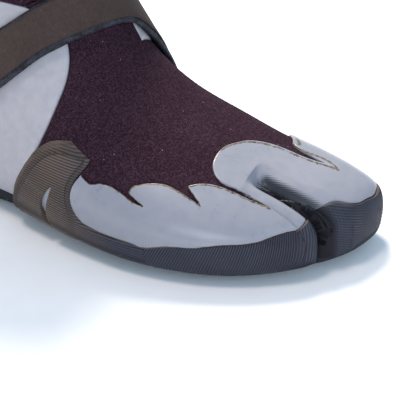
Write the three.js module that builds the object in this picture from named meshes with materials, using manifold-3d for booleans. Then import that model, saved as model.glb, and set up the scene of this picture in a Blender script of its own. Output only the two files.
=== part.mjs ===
// Split-toe neoprene surf boot for the right foot, in millimetres.
// +X points to the toes, +Y to the big toe side, +Z up.
import * as THREE from 'three';
import { LoftGeometry } from 'three/addons/geometries/LoftGeometry.js';
import { mergeVertices } from 'three/addons/utils/BufferGeometryUtils.js';
import Module from 'manifold-3d';

const wasm = await Module();
wasm.setup();

// ---------- sizes ----------
const CLEARANCE = 0.3; // air left between two layers that touch
const NEOPRENE = 3; // foam sheet
const LINING = 0.8; // towelling inside the foam
const OVERLAY = 1.2; // smooth abrasion film round the toes
const RUBBER = 2.1; // moulded rand, wings and heel counter
const SOLE = 5.6; // tread under the foam
const INSOLE = 3;
const CUFF_TOP = 210; // height of the cut edge of the foam
const BINDING_DROP = 13; // how far the binding reaches down the cuff
const BINDING_LIP = 1; // binding above the cut edge
const SLOT = 6; // gap between the big toe pocket and the next, in the foam
const SLOT_REAR = 240; // where the gap between the toes starts
const TOE_ROUND = 9; // rounding of the toe shoulders beside the gap
const SLOT_Y = -13;
const SLOT_SPARE = 0.5; // extra air between layers inside the gap
const STRAP_LIFT = 2; // air under the instep strap
const STRAP_BACKING = 2.1;
const STRAP_FACE = 1;
const SEAM = 0.3; // gap of a butt seam between two foam panels
const TAB_WIDTH = 20;
const TAB_THICK = 1.8;
const TAB_DROP = 34; // length of the pull tab loop
const TAB_OPEN = 11; // finger room in the loop

// Foot sections from the toe tip over the heel to the cuff, fanned so each one crosses the foot squarely:
// top x, top z, bottom x, bottom z, ridge y, half width outside, half width inside,
// height share of the widest point, roundness: upper outside, upper inside, lower.
const SECTIONS = [
  [287, 23, 287, 17, 24, 3, 3, 0.5, 2, 2, 2],
  [285, 30, 285, 13, 23, 13, 10, 0.46, 2, 2, 2.2],
  [280, 35, 280, 11, 21, 27, 17, 0.43, 2, 2, 2.6],
  [268, 40, 268, 9, 19, 42, 23, 0.42, 2, 2.1, 3],
  [252, 44, 252, 7, 18, 55, 28, 0.42, 1.9, 2.2, 3.4],
  [230, 50, 230, 5.6, 15, 64, 34, 0.4, 1.9, 2.2, 3.6],
  [205, 59, 205, 5.6, 13, 69, 38, 0.36, 1.9, 2.3, 3.6],
  [180, 71, 180, 5.6, 12, 70, 37, 0.32, 1.9, 2.3, 3.4],
  [162, 88, 150, 5.6, 12, 67, 32, 0.3, 1.9, 2.2, 3.2],
  [152, 106, 110, 5.6, 10, 58, 32, 0.34, 1.9, 2.1, 3],
  [146, 124, 62, 5.6, 6, 47, 34, 0.4, 2, 2, 2.8],
  [142, 142, 22, 10, 3, 41, 35, 0.45, 2, 2, 2.4],
  [138, 158, 6, 50, 1, 38, 36, 0.48, 2, 2, 2.2],
  [135, 174, 13, 95, 0, 38, 37, 0.5, 2, 2, 2],
  [133, 190, 19, 140, 0, 39, 38, 0.5, 2, 2, 2],
  [132, 206, 21, 185, 0, 40, 39, 0.5, 2, 2, 2],
  [132, 226, 21, 226, 0, 41, 40, 0.5, 2, 2, 2],
];
// How far the tread lies below each section's bottom: x shift, z shift.
const TREAD_SHIFT = SECTIONS.map((s, i) => {
  if (i <= 9) return [0, -SOLE];
  if (i === 10) return [-1, -SOLE];
  if (i === 11) return [-4, -SOLE];
  return [0, 0];
});
const ROUND = 20; // points round each section
const ROWS = [
  0, 0.5, 1, 1.6, 2.3, 3, 3.7, 4.4, 5.2, 6, 6.7, 7.4, 8, 8.6, 9.2, 9.8, 10.4, 10.9, 11.35, 11.8,
  12.4, 13.2, 14.4, 16,
];

// ---------- materials ----------
function material(color, roughness) {
  return new THREE.MeshStandardMaterial({ color, roughness, metalness: 0 });
}
const plumFoam = material(0x443445, 0.9);
const paleFoam = material(0xaeadc0, 0.6);
const filmGrey = material(0xbdb6bc, 0.5);
const blackRubber = material(0x3d3d48, 0.7);
const treadRubber = material(0x35353d, 0.75);
const towelling = material(0x2b292e, 1);
const bindingTape = material(0x2a2830, 0.85);
const strapWeave = material(0x5c5664, 0.8);
const blackFoam = material(0x1f1f24, 0.9);
const hookTape = material(0x26262b, 0.95);
const thread = material(0x8a8794, 0.8);

// ---------- solids ----------
function solid(geometry) {
  const bare = new THREE.BufferGeometry();
  bare.setAttribute('position', geometry.attributes.position);
  bare.setIndex(geometry.index);
  const merged = mergeVertices(bare, 1e-4);
  return new wasm.Manifold(
    new wasm.Mesh({
      numProp: 3,
      vertProperties: merged.attributes.position.array,
      triVerts: new Uint32Array(merged.index.array),
    }),
  );
}

const boot = new THREE.Group();
boot.name = 'split_toe_boot';

function add(name, body, look) {
  const { vertProperties, triVerts, numProp } = body.getMesh();
  const position = new Float32Array((vertProperties.length / numProp) * 3);
  for (let i = 0; i < position.length / 3; i++) {
    for (let k = 0; k < 3; k++) position[3 * i + k] = vertProperties[numProp * i + k];
  }
  const geometry = new THREE.BufferGeometry();
  geometry.setAttribute('position', new THREE.BufferAttribute(position, 3));
  geometry.setIndex(Array.from(triVerts));
  geometry.computeVertexNormals();
  const mesh = new THREE.Mesh(geometry, look);
  mesh.name = name;
  boot.add(mesh);
}

// An outline in x and z pushed through from y0 to y1.
function sidePrism(outline, y0, y1) {
  const shape = new THREE.Shape(outline.map(([x, z]) => new THREE.Vector2(x, z)));
  const geometry = new THREE.ExtrudeGeometry(shape, { depth: y1 - y0, bevelEnabled: false });
  geometry.rotateX(Math.PI / 2);
  geometry.translate(0, y1, 0);
  return solid(geometry);
}

// Patterns for the outer side of the toes are drawn on a plane that faces the outer side from above.
const PLANE_TURN = THREE.MathUtils.degToRad(28);
const PLANE_TILT = THREE.MathUtils.degToRad(29);
const planeRight = new THREE.Vector3(Math.cos(PLANE_TURN), Math.sin(PLANE_TURN), 0);
const planeOut = new THREE.Vector3(
  Math.sin(PLANE_TURN) * Math.cos(PLANE_TILT),
  -Math.cos(PLANE_TURN) * Math.cos(PLANE_TILT),
  Math.sin(PLANE_TILT),
);
const planeUp = new THREE.Vector3().crossVectors(planeOut, planeRight);

function outerPrism(outline) {
  const shape = new THREE.Shape(outline.map(([u, v]) => new THREE.Vector2(u, v)));
  const geometry = new THREE.ExtrudeGeometry(shape, { depth: 600, bevelEnabled: false });
  geometry.translate(0, 0, -300);
  geometry.applyMatrix4(new THREE.Matrix4().makeBasis(planeRight, planeUp, planeOut));
  return solid(geometry);
}

function block(x0, x1, y0, y1, z0, z1) {
  return sidePrism([[x0, z0], [x1, z0], [x1, z1], [x0, z1]], y0, y1);
}

// A thin wall along a seam line in x and z, all the way through the boot.
function seamCut(line, width) {
  const left = [];
  const right = [];
  line.forEach(([x, z], i) => {
    const [ax, az] = line[Math.max(i - 1, 0)];
    const [bx, bz] = line[Math.min(i + 1, line.length - 1)];
    const length = Math.hypot(bx - ax, bz - az);
    const nx = (-(bz - az) / length) * (width / 2);
    const nz = ((bx - ax) / length) * (width / 2);
    left.push([x + nx, z + nz]);
    right.unshift([x - nx, z - nz]);
  });
  return sidePrism([...left, ...right], -120, 120);
}

// ---------- foot surface ----------
function smooth(values, t) {
  const last = values.length - 1;
  const i = Math.min(Math.max(Math.floor(t), 0), last - 1);
  const f = t - i;
  const b = values[i];
  const c = values[i + 1];
  const a = i > 0 ? values[i - 1] : 2 * b - c;
  const d = i < last - 1 ? values[i + 2] : 2 * c - b;
  return 0.5 * (2 * b + (c - a) * f + (2 * a - 5 * b + 4 * c - d) * f * f + (3 * b - a - 3 * c + d) * f ** 3);
}

function power(value, exponent) {
  return Math.sign(value) * Math.abs(value) ** exponent;
}

// A point of the foot surface: t runs over the sections, angle from the top towards the inside.
function footPoint(t, angle, sections) {
  const [tx, tz, bx, bz, ridge, outside, inside, share, upOut, upIn, low] = sections[0].map((_, k) =>
    smooth(sections.map((s) => s[k]), t),
  );
  const height = Math.hypot(tx - bx, tz - bz);
  const c = Math.cos(angle);
  const s = Math.sin(angle);
  const width = s >= 0 ? inside : outside;
  const upper = s >= 0 ? upIn : upOut;
  const roundness = c >= 0 ? upper : low;
  const middle = share * height;
  const reach = c >= 0 ? height - middle : middle;
  const h = middle + reach * power(c, 2 / roundness);
  return new THREE.Vector3(
    bx + ((tx - bx) / height) * h,
    ridge + width * power(s, 2 / roundness),
    bz + ((tz - bz) / height) * h,
  );
}

function offsetPoint(t, angle, offset, sections = SECTIONS) {
  const point = footPoint(t, angle, sections);
  if (offset === 0) return point;
  const step = 1e-3;
  const middle = Math.min(Math.max(t, 0.02), sections.length - 1.02);
  const along = footPoint(middle + step, angle, sections).sub(footPoint(middle - step, angle, sections));
  const round = footPoint(t, angle + step, sections).sub(footPoint(t, angle - step, sections));
  return point.addScaledVector(round.cross(along).normalize(), offset);
}

function footSolid(offset, sections = SECTIONS) {
  const rings = ROWS.map((t) => {
    const ring = [];
    for (let j = 0; j < ROUND; j++) {
      ring.push(offsetPoint(t, (j / ROUND) * 2 * Math.PI, offset, sections));
    }
    return ring;
  });
  return solid(new LoftGeometry(rings, { capStart: true, capEnd: true }));
}

// Height line of the toes along the gap between them, in x and z.
const SLOT_LINE = [
  [212, 53], [222, 49.6], [227, 48], [232, 46.3], [237, 44.7], [242, 43], [250, 40.7], [257, 38.4],
  [263, 36], [268, 33.5], [272, 30], [274.6, 26], [275.4, 20], [274, 0], [270, -20],
];
const SLOT_FADE = 224; // the dip between the toes starts here
const SLOT_SLOPE = 0.56;

// One layer of the gap between the toes, "side" away from its middle plane: everything less than
// "depth" below the height line, which leans with the toes on either side.
function slotLayer(side, depth, grow) {
  const forward = side * (side > 0 ? 0.5 : 0.8);
  const rise = side * (side > 0 ? 0.2 : 0.34);
  const leaning = SLOT_LINE.map(([x, z]) => [
    x + forward * THREE.MathUtils.clamp((x - 245) / 30, 0, 1),
    z + rise,
  ]);
  const line = leaning.map(([x, z], i) => {
    const [ax, az] = leaning[Math.max(i - 1, 0)];
    const [bx, bz] = leaning[Math.min(i + 1, leaning.length - 1)];
    const length = Math.hypot(bx - ax, bz - az);
    const ramp = Math.max((SLOT_LINE[i][0] - SLOT_FADE) * SLOT_SLOPE, -3) + 1.15 * grow;
    const local = Math.min(depth, ramp);
    return [x + ((bz - az) / length) * local, z - ((bx - ax) / length) * local];
  });
  return [[320, 120], [320, -20], ...line.reverse(), [line[line.length - 1][0], 120]].map(
    ([x, z]) => new THREE.Vector3(x, SLOT_Y + side, z),
  );
}

// The gap between the toes, with shoulders rounded towards it, grown by "grow".
function toeGap(grow) {
  const layers = [];
  const count = 3;
  for (let k = 0; k <= count; k++) {
    const angle = (k / count) * (Math.PI / 2);
    const side = SLOT / 2 + TOE_ROUND - (TOE_ROUND - grow) * Math.cos(angle);
    layers.push([side, TOE_ROUND - (TOE_ROUND - grow) * Math.sin(angle)]);
  }
  layers.push([SLOT / 2 + TOE_ROUND + 3, grow - 3]);
  const rings = [
    ...layers.map(([side, depth]) => slotLayer(-side, depth, grow)).reverse(),
    ...layers.map(([side, depth]) => slotLayer(side, depth, grow)),
  ];
  const shoulders = solid(new LoftGeometry(rings, { capStart: true, capEnd: true }));
  const half = SLOT / 2 + grow;
  const blade = block(SLOT_REAR - grow, 320, SLOT_Y - half, SLOT_Y + half, -20, 120);
  return shoulders.add(blade);
}

const treadSections = SECTIONS.map((s, i) => {
  const copy = [...s];
  copy[2] += TREAD_SHIFT[i][0];
  copy[3] += TREAD_SHIFT[i][1];
  return copy;
});

// The foot surface moved out by "offset", with the gap between the toes cut in; "spare" is extra air
// in that gap for a layer that lies on another one.
function layer(offset, spare = 0, sections = SECTIONS) {
  return footSolid(offset, sections).subtract(toeGap(spare - offset));
}

// ---------- seam lines, in x and z ----------
const QUARTER_FRONT = [
  [118, 10], [122, 25], [127, 44], [130, 52], [135, 64], [138.5, 75], [140.5, 84],
  [140.5, 92], [139, 99], [135, 108], [127, 115], [116, 119],
];
const QUARTER_REAR = [
  [116, 119], [104, 121], [90, 121], [78, 118], [66, 110], [57, 98], [51, 84], [47, 66], [45, 45],
  [44, 25], [44, 10.9],
];
const SHAFT_SEAM = [
  [-40, 121], [66, 110], [78, 118], [90, 121], [104, 121], [116, 119], [150, 140], [330, 140],
];
const BOTTOM_SEAM = [[-40, 11], [40, 11], [110, 10], [230, 10], [255, 12], [275, 16], [330, 21]];
const TREAD_EDGE = [[-40, 9], [40, 9], [110, 8], [230, 8], [252, 9.5], [268, 12], [280, 15], [330, 21]];

function below(line, depth = -40) {
  return [...line, [line[line.length - 1][0], depth], [line[0][0], depth]];
}
function above(line, top = 300) {
  return [...line, [line[line.length - 1][0], top], [line[0][0], top]];
}
function raised(line, lift) {
  return line.map(([x, z]) => [x, z + lift]);
}

// ---------- foam sock ----------
const skin = layer(0);
const belowCuff = block(-60, 340, -120, 120, -40, CUFF_TOP);
const foam = skin.subtract(layer(-NEOPRENE)).intersect(belowCuff);
const seams = [QUARTER_FRONT, QUARTER_REAR, SHAFT_SEAM, BOTTOM_SEAM]
  .map((line) => seamCut(line, SEAM))
  .reduce((all, cut) => all.add(cut));
const panels = foam.subtract(seams);
const quarterZone = [[118, 0], ...QUARTER_FRONT, ...QUARTER_REAR.slice(1), [44, 0]];
const overBottom = sidePrism(above(BOTTOM_SEAM), -120, 120);
const underShaft = sidePrism(below(SHAFT_SEAM), -120, 120);
const upper = panels.intersect(overBottom).intersect(underShaft);
const vampZone = [[118, 0], ...QUARTER_FRONT, [150, 140], [330, 140], [330, 0]];
const heelZone = [...QUARTER_REAR.slice(4), [44, 0], [-60, 0], [-60, 160], [66, 160]];

add('bottom_panel', panels.intersect(sidePrism(below(BOTTOM_SEAM), -120, 120)), plumFoam);
add('vamp_panel', upper.intersect(sidePrism(vampZone, -120, 120)), plumFoam);
add('lateral_quarter', upper.intersect(sidePrism(quarterZone, -120, 0)), paleFoam);
add('medial_quarter', upper.intersect(sidePrism(quarterZone, 0, 120)), paleFoam);
add('heel_panel', upper.intersect(sidePrism(heelZone, -120, 120)), plumFoam);
add('shaft_panel', panels.intersect(sidePrism(above(SHAFT_SEAM), -120, 120)), plumFoam);

// ---------- lining and insole ----------
const liningOuter = NEOPRENE + CLEARANCE;
const liningInner = liningOuter + LINING;
const cavity = layer(-liningInner, SLOT_SPARE);
add('lining', layer(-liningOuter, SLOT_SPARE).subtract(cavity).intersect(belowCuff), towelling);

const insoleTop = SECTIONS[6][3] + liningInner + CLEARANCE + INSOLE;
const INSOLE_LINE = [[-40, insoleTop + 2], [30, insoleTop], [230, insoleTop], [255, insoleTop + 2.5], [330, insoleTop + 14]];
add(
  'insole',
  layer(-(liningInner + CLEARANCE), 2 * SLOT_SPARE).intersect(
    sidePrism(below(INSOLE_LINE), -120, 120),
  ),
  towelling,
);

// ---------- cuff binding ----------
function cuffBinding() {
  const outside = footSolid(1.3);
  const inside = footSolid(-(liningInner + CLEARANCE + 1));
  const band = outside
    .subtract(inside)
    .intersect(block(-60, 340, -120, 120, CUFF_TOP - BINDING_DROP, CUFF_TOP + CLEARANCE + BINDING_LIP));
  const held = footSolid(CLEARANCE)
    .subtract(footSolid(-(liningInner + CLEARANCE)))
    .intersect(block(-60, 340, -120, 120, 0, CUFF_TOP + CLEARANCE));
  return band.subtract(held);
}
add('cuff_binding', cuffBinding(), bindingTape);

// ---------- tread and moulded rubber ----------
const rubberOut = CLEARANCE + RUBBER;
const rubber = layer(rubberOut, 0, treadSections).subtract(layer(CLEARANCE, -SLOT_SPARE));
const overGround = block(-60, 340, -120, 120, 0, 300);
const treadZone = sidePrism(below(TREAD_EDGE), -120, 120);
const overTread = sidePrism(above(raised(TREAD_EDGE, CLEARANCE)), -120, 120);
add('outsole', rubber.intersect(treadZone).intersect(overGround), treadRubber);

// Top edge of the rubber round the outer toes, on the sloping pattern plane.
const RAND_EDGE = [
  [147, -54], [158, -53], [171, -53.5], [184, -52.5], [197, -52], [203, -51], [209, -49],
  [216, -47], [222.5, -45.5], [226.5, -42], [230, -37], [236, -34], [242, -33], [248, -34],
  [253, -33.7], [258, -31.6], [263.5, -30],
];
// The wing's edge against the toe film, then along to the rubber of the toes, on the same plane.
const WING_EDGE = [[116, -18], [111.5, -23.5], [110, -29.5], [112, -36], [116, -41], [123, -45], [132, -48.5], [142, -52]];
// Top edge of the rubber on the inner side, in x and z.
const INNER_EDGE = [[60, 10], [100, 10], [108, 14], [118, 24], [130, 32], [145, 36], [160, 34], [175, 29],
  [190, 25.5], [205, 24], [225, 25], [250, 26], [270, 28], [286, 30], [330, 32]];
const INNER_FROM = 22; // the inner edge takes over from this y

const outerRubberZone = outerPrism([...RAND_EDGE, [330, -30], [330, -200], [100, -200], [100, -54]]);
const innerRubberZone = sidePrism(below(INNER_EDGE), INNER_FROM, 120);
const upperRubber = rubber.intersect(overTread);
const WING_FRONT = [[197, 46], [198, 19], [202, -40]];
const beforeWing = sidePrism([[330, 46], ...WING_FRONT.map(([x, z]) => [x + CLEARANCE, z]), [330, -40]], -120, 120);
const slotLiningOff = block(200, 257, SLOT_Y - SLOT, SLOT_Y + SLOT, -40, 120);

add(
  'lateral_toe_rand',
  upperRubber
    .intersect(outerRubberZone)
    .intersect(beforeWing)
    .intersect(block(100, 330, -120, SLOT_Y, -40, 120))
    .subtract(slotLiningOff),
  blackRubber,
);
const INNER_SPLIT = 205;
add(
  'big_toe_rand',
  upperRubber
    .intersect(outerRubberZone.intersect(block(230, 340, SLOT_Y, INNER_FROM + 0.5, -60, 200)).add(innerRubberZone))
    .intersect(block(INNER_SPLIT + CLEARANCE, 340, SLOT_Y, 120, -40, 120))
    .subtract(slotLiningOff),
  blackRubber,
);
add(
  'medial_wing',
  upperRubber.intersect(innerRubberZone).intersect(block(104, INNER_SPLIT, 0, 120, -40, 120)),
  blackRubber,
);

// The outer wing, in x and z, with a curved slit.
const WING_OUTLINE = [
  [106, -40], [108, 8], [113, 22], [120, 35], [126, 44], [132.5, 51], [139, 55.5], [146, 57.5],
  [154, 58], [163.5, 56], [162, 51], [159.5, 47.5], [155.5, 41], [154.3, 34], [156.5, 27.5],
  [158, 25], [158, -40],
];
const WING_FILM_SIDE = WING_OUTLINE.slice(9, 15);
const WING_SLIT = [[145, 35], [140, 31], [136, 26], [134.5, 20.5], [135.5, 15], [138, 11]];
const overWingEdge = outerPrism([...WING_EDGE, ...RAND_EDGE.slice(0, 5), [197, 60], [116, 60]]);
const wingBlade = sidePrism(WING_OUTLINE, -120, 0);
const wingFoot = sidePrism([[156, 46], [156, -40], ...[...WING_FRONT].reverse()], -120, 0);
add(
  'lateral_wing',
  upperRubber
    .intersect(wingBlade.add(wingFoot.subtract(overWingEdge)))
    .subtract(seamCut(WING_SLIT, 1.4).intersect(block(100, 200, -120, 0, -40, 120))),
  blackRubber,
);

const COUNTER_ZONE = [[-60, -40], [50, -40], [50, 6], [47, 18], [40, 32], [30, 43], [18, 50], [-60, 53]];
add('heel_counter', upperRubber.intersect(sidePrism(COUNTER_ZONE, -120, 120)), blackRubber);

// ---------- toe film ----------
const FILM_EDGE = [
  [117, -18.5], [121, -22], [126.5, -22], [132.5, -24], [137.5, -27.5], [142, -31], [147, -33.3],
  [143, -29.6], [140.4, -27], [141.4, -24.3], [146.3, -22.9], [152, -22.5], [159, -23.5],
  [164.7, -26.5], [171, -30.7], [175, -33.5], [170.6, -27], [168.6, -24.1], [173, -23.2],
  [179, -23.3], [185, -24.8], [191, -27.3], [197, -30.2], [203.5, -33], [209, -35.3],
  [201, -30.5], [191.7, -25.8], [185, -22.5], [182.4, -19.4], [181, -14], [183, -9], [187, -5],
  [192.6, -3], [199.6, -1.8], [206, -2.4], [213, -4.2], [220, -7], [226.4, -10], [233, -12.5],
  [239.5, -14.6], [245, -16.8], [243, -14], [237, -10.3], [230, -7.4], [225.4, -5], [221.7, -1.2],
  [220, 1.5], [222, 30], [330, 30],
];
const filmLower = [...RAND_EDGE].reverse().map(([u, v]) => [u, v + 0.5]);
const wingLower = [...WING_EDGE].reverse().map(([u, v]) => [u + 0.6, v + 0.3]);
const outerFilmZone = outerPrism([...FILM_EDGE, [330, -29.5], ...filmLower, ...wingLower])
  .intersect(block(100, 340, -120, INNER_FROM, -60, 200))
  .intersect(sidePrism(above([[100, 14], [230, 14], [260, 19], [330, 26]]), -120, 120));
const innerFilmZone = sidePrism(
  [
    [243.5, 80], [243.5, 47.4], [238, 46.4], [232, 43.5], [227, 38], [224, 32], [223.5, 25.5],
    [250, 26.5], [270, 28.5], [286, 30.5], [330, 32.5], [330, 80],
  ],
  INNER_FROM - 0.5,
  120,
);
const film = layer(CLEARANCE + OVERLAY, -SLOT_SPARE).subtract(layer(CLEARANCE, -SLOT_SPARE));
add(
  'toe_film',
  film
    .intersect(outerFilmZone.add(innerFilmZone))
    .subtract(block(SLOT_REAR - 4, 340, SLOT_Y - 4.2, SLOT_Y + 4.2, -40, 120))
    .subtract(wingBlade)
    .subtract(seamCut(WING_FILM_SIDE, 0.9)),
  filmGrey,
);

// ---------- instep strap ----------
// Front and rear edge of the strap as section and degrees from the ridge,
// from the arch, over the instep, to the outer side of the heel.
const STRAP_PATH = [
  [7.5, 76, 8.85, 76], [7.62, 64, 9.0, 62], [7.8, 46, 9.35, 46], [8.0, 31, 9.68, 31],
  [8.3, 17, 9.95, 17], [8.72, 3, 10.15, 3], [9.0, -8, 10.3, -8], [9.22, -19, 10.47, -19],
  [9.48, -31, 10.7, -31], [9.72, -42, 10.95, -42], [9.93, -52, 11.08, -51], [10.08, -62, 11.2, -61],
  [10.22, -72, 11.35, -72], [10.38, -84, 11.5, -84], [10.58, -97, 11.62, -97], [10.8, -110, 11.75, -111],
];
const STRAP_END = STRAP_PATH.length - 1;

function strapEdge(s) {
  return [0, 1, 2, 3].map((k) => smooth(STRAP_PATH.map((p) => p[k]), s));
}

// A point of the strap: s along it, across from -1 (front edge) to 1 (rear edge), lift over the foam.
function strapPoint(s, across, lift) {
  const [t0, a0, t1, a1] = strapEdge(s);
  const f = (across + 1) / 2;
  return offsetPoint(t0 + (t1 - t0) * f, THREE.MathUtils.degToRad(a0 + (a1 - a0) * f), lift);
}

// A strip of the strap from s0 to s1, between two lifts that may change along it.
function strapStrip(s0, s1, low, high, half = () => 1, steps = Math.ceil((s1 - s0) * 2)) {
  const rings = [];
  for (let i = 0; i <= steps; i++) {
    const s = s0 + ((s1 - s0) * i) / steps;
    const ring = [];
    for (const a of [-1, -0.4, 0.4, 1]) ring.push(strapPoint(s, a * half(s), low(s)));
    for (const a of [1, 0.4, -0.4, -1]) ring.push(strapPoint(s, a * half(s), high(s)));
    rings.push(ring);
  }
  return solid(new LoftGeometry(rings.map((r) => [...r].reverse()), { capStart: true, capEnd: true }));
}

const rootEnd = 1.1; // sewn end at the arch
const foldAt = 5.4; // the strap folds back here, on the ridge of the instep
const tipAt = 12; // and again here, where the fastening tip starts
const hingeGap = 0.12; // in strap steps, about a millimetre
const patchTop = CLEARANCE + 0.9;
const padTop = patchTop + CLEARANCE + 1;
const spanLow = STRAP_LIFT;
const spanMiddle = spanLow + STRAP_BACKING;
const spanHigh = spanMiddle + CLEARANCE + STRAP_FACE;
const rootLow = (s) => CLEARANCE + (spanLow - CLEARANCE) * Math.min(s / rootEnd, 1);
add('strap_root', strapStrip(0, rootEnd, rootLow, () => spanHigh), strapWeave);
for (const [part, s0, s1] of [['inner', rootEnd, foldAt], ['flap', foldAt, tipAt]]) {
  const lower = [() => spanLow, () => spanMiddle];
  const upper = [() => spanMiddle + CLEARANCE, () => spanHigh];
  add(`strap_${part}_backing`, strapStrip(s0 + hingeGap, s1, ...lower), blackFoam);
  add(`strap_${part}_face`, strapStrip(s0 + hingeGap, s1, ...upper, () => 0.93), strapWeave);
}
const tipHalf = (s) => (s < 14 ? 1 : 1 - 0.45 * (s - 14) ** 2);
add(
  'strap_tip',
  strapStrip(tipAt + hingeGap, STRAP_END, () => padTop + CLEARANCE, () => spanHigh, tipHalf),
  strapWeave,
);
add(
  'hook_pad',
  strapStrip(tipAt + 0.4, 14.3, () => patchTop + CLEARANCE, () => padTop, () => 0.85),
  hookTape,
);
add('loop_patch', strapStrip(tipAt - 0.8, 14.6, () => CLEARANCE, () => patchTop, () => 0.92), hookTape);
add(
  'strap_tip_grip',
  strapStrip(14.15, 14.8, () => spanHigh + CLEARANCE, () => spanHigh + CLEARANCE + 1.2, () => 0.55),
  blackRubber,
);

// ---------- pull tab at the back of the cuff ----------
function backPoint(z) {
  return SECTIONS[14][2] + ((SECTIONS[15][2] - SECTIONS[14][2]) * (z - SECTIONS[14][3])) / 45;
}
const tabTop = CUFF_TOP - BINDING_DROP - 4;
function pullTabLoop() {
  const x = backPoint(tabTop) - CLEARANCE - TAB_THICK - 1.2;
  const outline = new THREE.Shape();
  const out = x - TAB_OPEN - TAB_THICK * 2;
  outline.moveTo(x, tabTop);
  outline.bezierCurveTo(x - 6, tabTop, out, tabTop - 6, out, tabTop - TAB_DROP * 0.55);
  outline.bezierCurveTo(out, tabTop - TAB_DROP * 0.9, out + 4, tabTop - TAB_DROP, x - TAB_OPEN * 0.45, tabTop - TAB_DROP);
  outline.bezierCurveTo(x - 2, tabTop - TAB_DROP, x, tabTop - TAB_DROP * 0.9, x, tabTop - TAB_DROP * 0.8);
  outline.closePath();
  const points = outline.getPoints(6);
  const inner = new THREE.Shape(outline.getPoints(6));
  const centre = new THREE.Vector2();
  points.forEach((p) => centre.add(p));
  centre.divideScalar(points.length);
  const hole = new THREE.Path();
  const ring = inner.getPoints(6);
  const width = Math.max(...ring.map((p) => p.x)) - Math.min(...ring.map((p) => p.x));
  const height = Math.max(...ring.map((p) => p.y)) - Math.min(...ring.map((p) => p.y));
  hole.setFromPoints(
    ring.map((p) => new THREE.Vector2(
      centre.x + (p.x - centre.x) * (1 - (2 * TAB_THICK) / width),
      centre.y + (p.y - centre.y) * (1 - (2 * TAB_THICK) / height),
    )),
  );
  outline.holes.push(hole);
  const geometry = new THREE.ExtrudeGeometry(outline, { depth: TAB_WIDTH, bevelEnabled: false, curveSegments: 6 });
  geometry.rotateX(Math.PI / 2);
  geometry.translate(0, TAB_WIDTH / 2, 0);
  return solid(geometry);
}
function backStrip(z0, z1, low, high, halfWidth) {
  return footSolid(high)
    .subtract(footSolid(low))
    .intersect(block(-60, 60, -halfWidth, halfWidth, z0, z1));
}
add('pull_tab_patch', backStrip(tabTop - 8, tabTop + 3, CLEARANCE, CLEARANCE + 1, TAB_WIDTH / 2 + 2), bindingTape);
add('pull_tab_loop', pullTabLoop(), bindingTape);
add('back_seam_tape', backStrip(56, tabTop - 8 - CLEARANCE, CLEARANCE, CLEARANCE + 0.7, 6), bindingTape);

// ---------- bar tacks on the strap root ----------
for (const [name, across] of [['strap_tack_front', -0.62], ['strap_tack_rear', 0.62]]) {
  const strip = (s0, s1, low, high) => {
    const rings = [];
    for (const s of [s0, (s0 + s1) / 2, s1]) {
      rings.push([
        strapPoint(s, across - 0.06, low), strapPoint(s, across + 0.06, low),
        strapPoint(s, across + 0.06, high), strapPoint(s, across - 0.06, high),
      ].reverse());
    }
    return solid(new LoftGeometry(rings, { capStart: true, capEnd: true }));
  };
  add(name, strip(0.12, 0.75, spanHigh + CLEARANCE, spanHigh + CLEARANCE + 0.6), thread);
}

// ---------- rest on the ground, centred ----------
const bounds = new THREE.Box3().setFromObject(boot);
const centre = bounds.getCenter(new THREE.Vector3());
for (const mesh of boot.children) mesh.geometry.translate(-centre.x, -centre.y, -bounds.min.z);

export default boot;
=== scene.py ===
import math

import bpy
import numpy as np
from mathutils import Matrix, Vector


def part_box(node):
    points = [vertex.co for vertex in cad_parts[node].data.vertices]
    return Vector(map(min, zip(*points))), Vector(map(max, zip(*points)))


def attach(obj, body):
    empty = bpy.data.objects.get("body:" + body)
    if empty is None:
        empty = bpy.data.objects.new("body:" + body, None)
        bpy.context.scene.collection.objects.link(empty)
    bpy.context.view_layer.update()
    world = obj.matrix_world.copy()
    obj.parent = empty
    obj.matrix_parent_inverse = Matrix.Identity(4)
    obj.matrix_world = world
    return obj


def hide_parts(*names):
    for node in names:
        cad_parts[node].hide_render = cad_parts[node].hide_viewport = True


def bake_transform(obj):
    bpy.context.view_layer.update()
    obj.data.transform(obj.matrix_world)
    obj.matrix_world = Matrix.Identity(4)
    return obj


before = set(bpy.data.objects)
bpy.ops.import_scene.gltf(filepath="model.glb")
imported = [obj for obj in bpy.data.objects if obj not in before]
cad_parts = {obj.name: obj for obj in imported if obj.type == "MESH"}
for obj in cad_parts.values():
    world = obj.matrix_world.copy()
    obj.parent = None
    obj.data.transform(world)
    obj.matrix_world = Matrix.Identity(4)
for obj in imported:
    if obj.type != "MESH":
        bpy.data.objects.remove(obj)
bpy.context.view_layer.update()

# ---------------------------------------------------------------------------
# Studio: a white table top in soft daylight. A broad warm lamp stands behind the boot
# on its heel side and a small warm one before it; a lamp on the camera's side and the
# sky fill the shadow with pale blue.
# ---------------------------------------------------------------------------
LAST_SHIFT = np.array([146.409, -3.312, 0.0])  # from the last's own millimetres to the frame


def to_frame(points):
    """Points of the last, in millimetres, as metres of the shared frame."""
    return (np.asarray(points, float) - LAST_SHIFT) / 1000


# The camera looks from the outer side of the toes, from above, a little off the boot's middle.
turn, tilt, roll = math.radians(27.8), math.radians(28.9), math.radians(-0.6)
CAMERA_DISTANCE = 0.632
AIM_RIGHT, AIM_DOWN = 0.00411, 0.02549
away = Vector((math.sin(turn) * math.cos(tilt), -math.cos(turn) * math.cos(tilt), math.sin(tilt)))
side = Vector((math.cos(turn), math.sin(turn), 0))
high = away.cross(side)
view_right = side * math.cos(roll) + high * math.sin(roll)
view_up = -side * math.sin(roll) + high * math.cos(roll)
look_at = Vector(to_frame([200, 0, 30]))
aim = (-away + view_right * AIM_RIGHT - view_up * AIM_DOWN).normalized()

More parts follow.
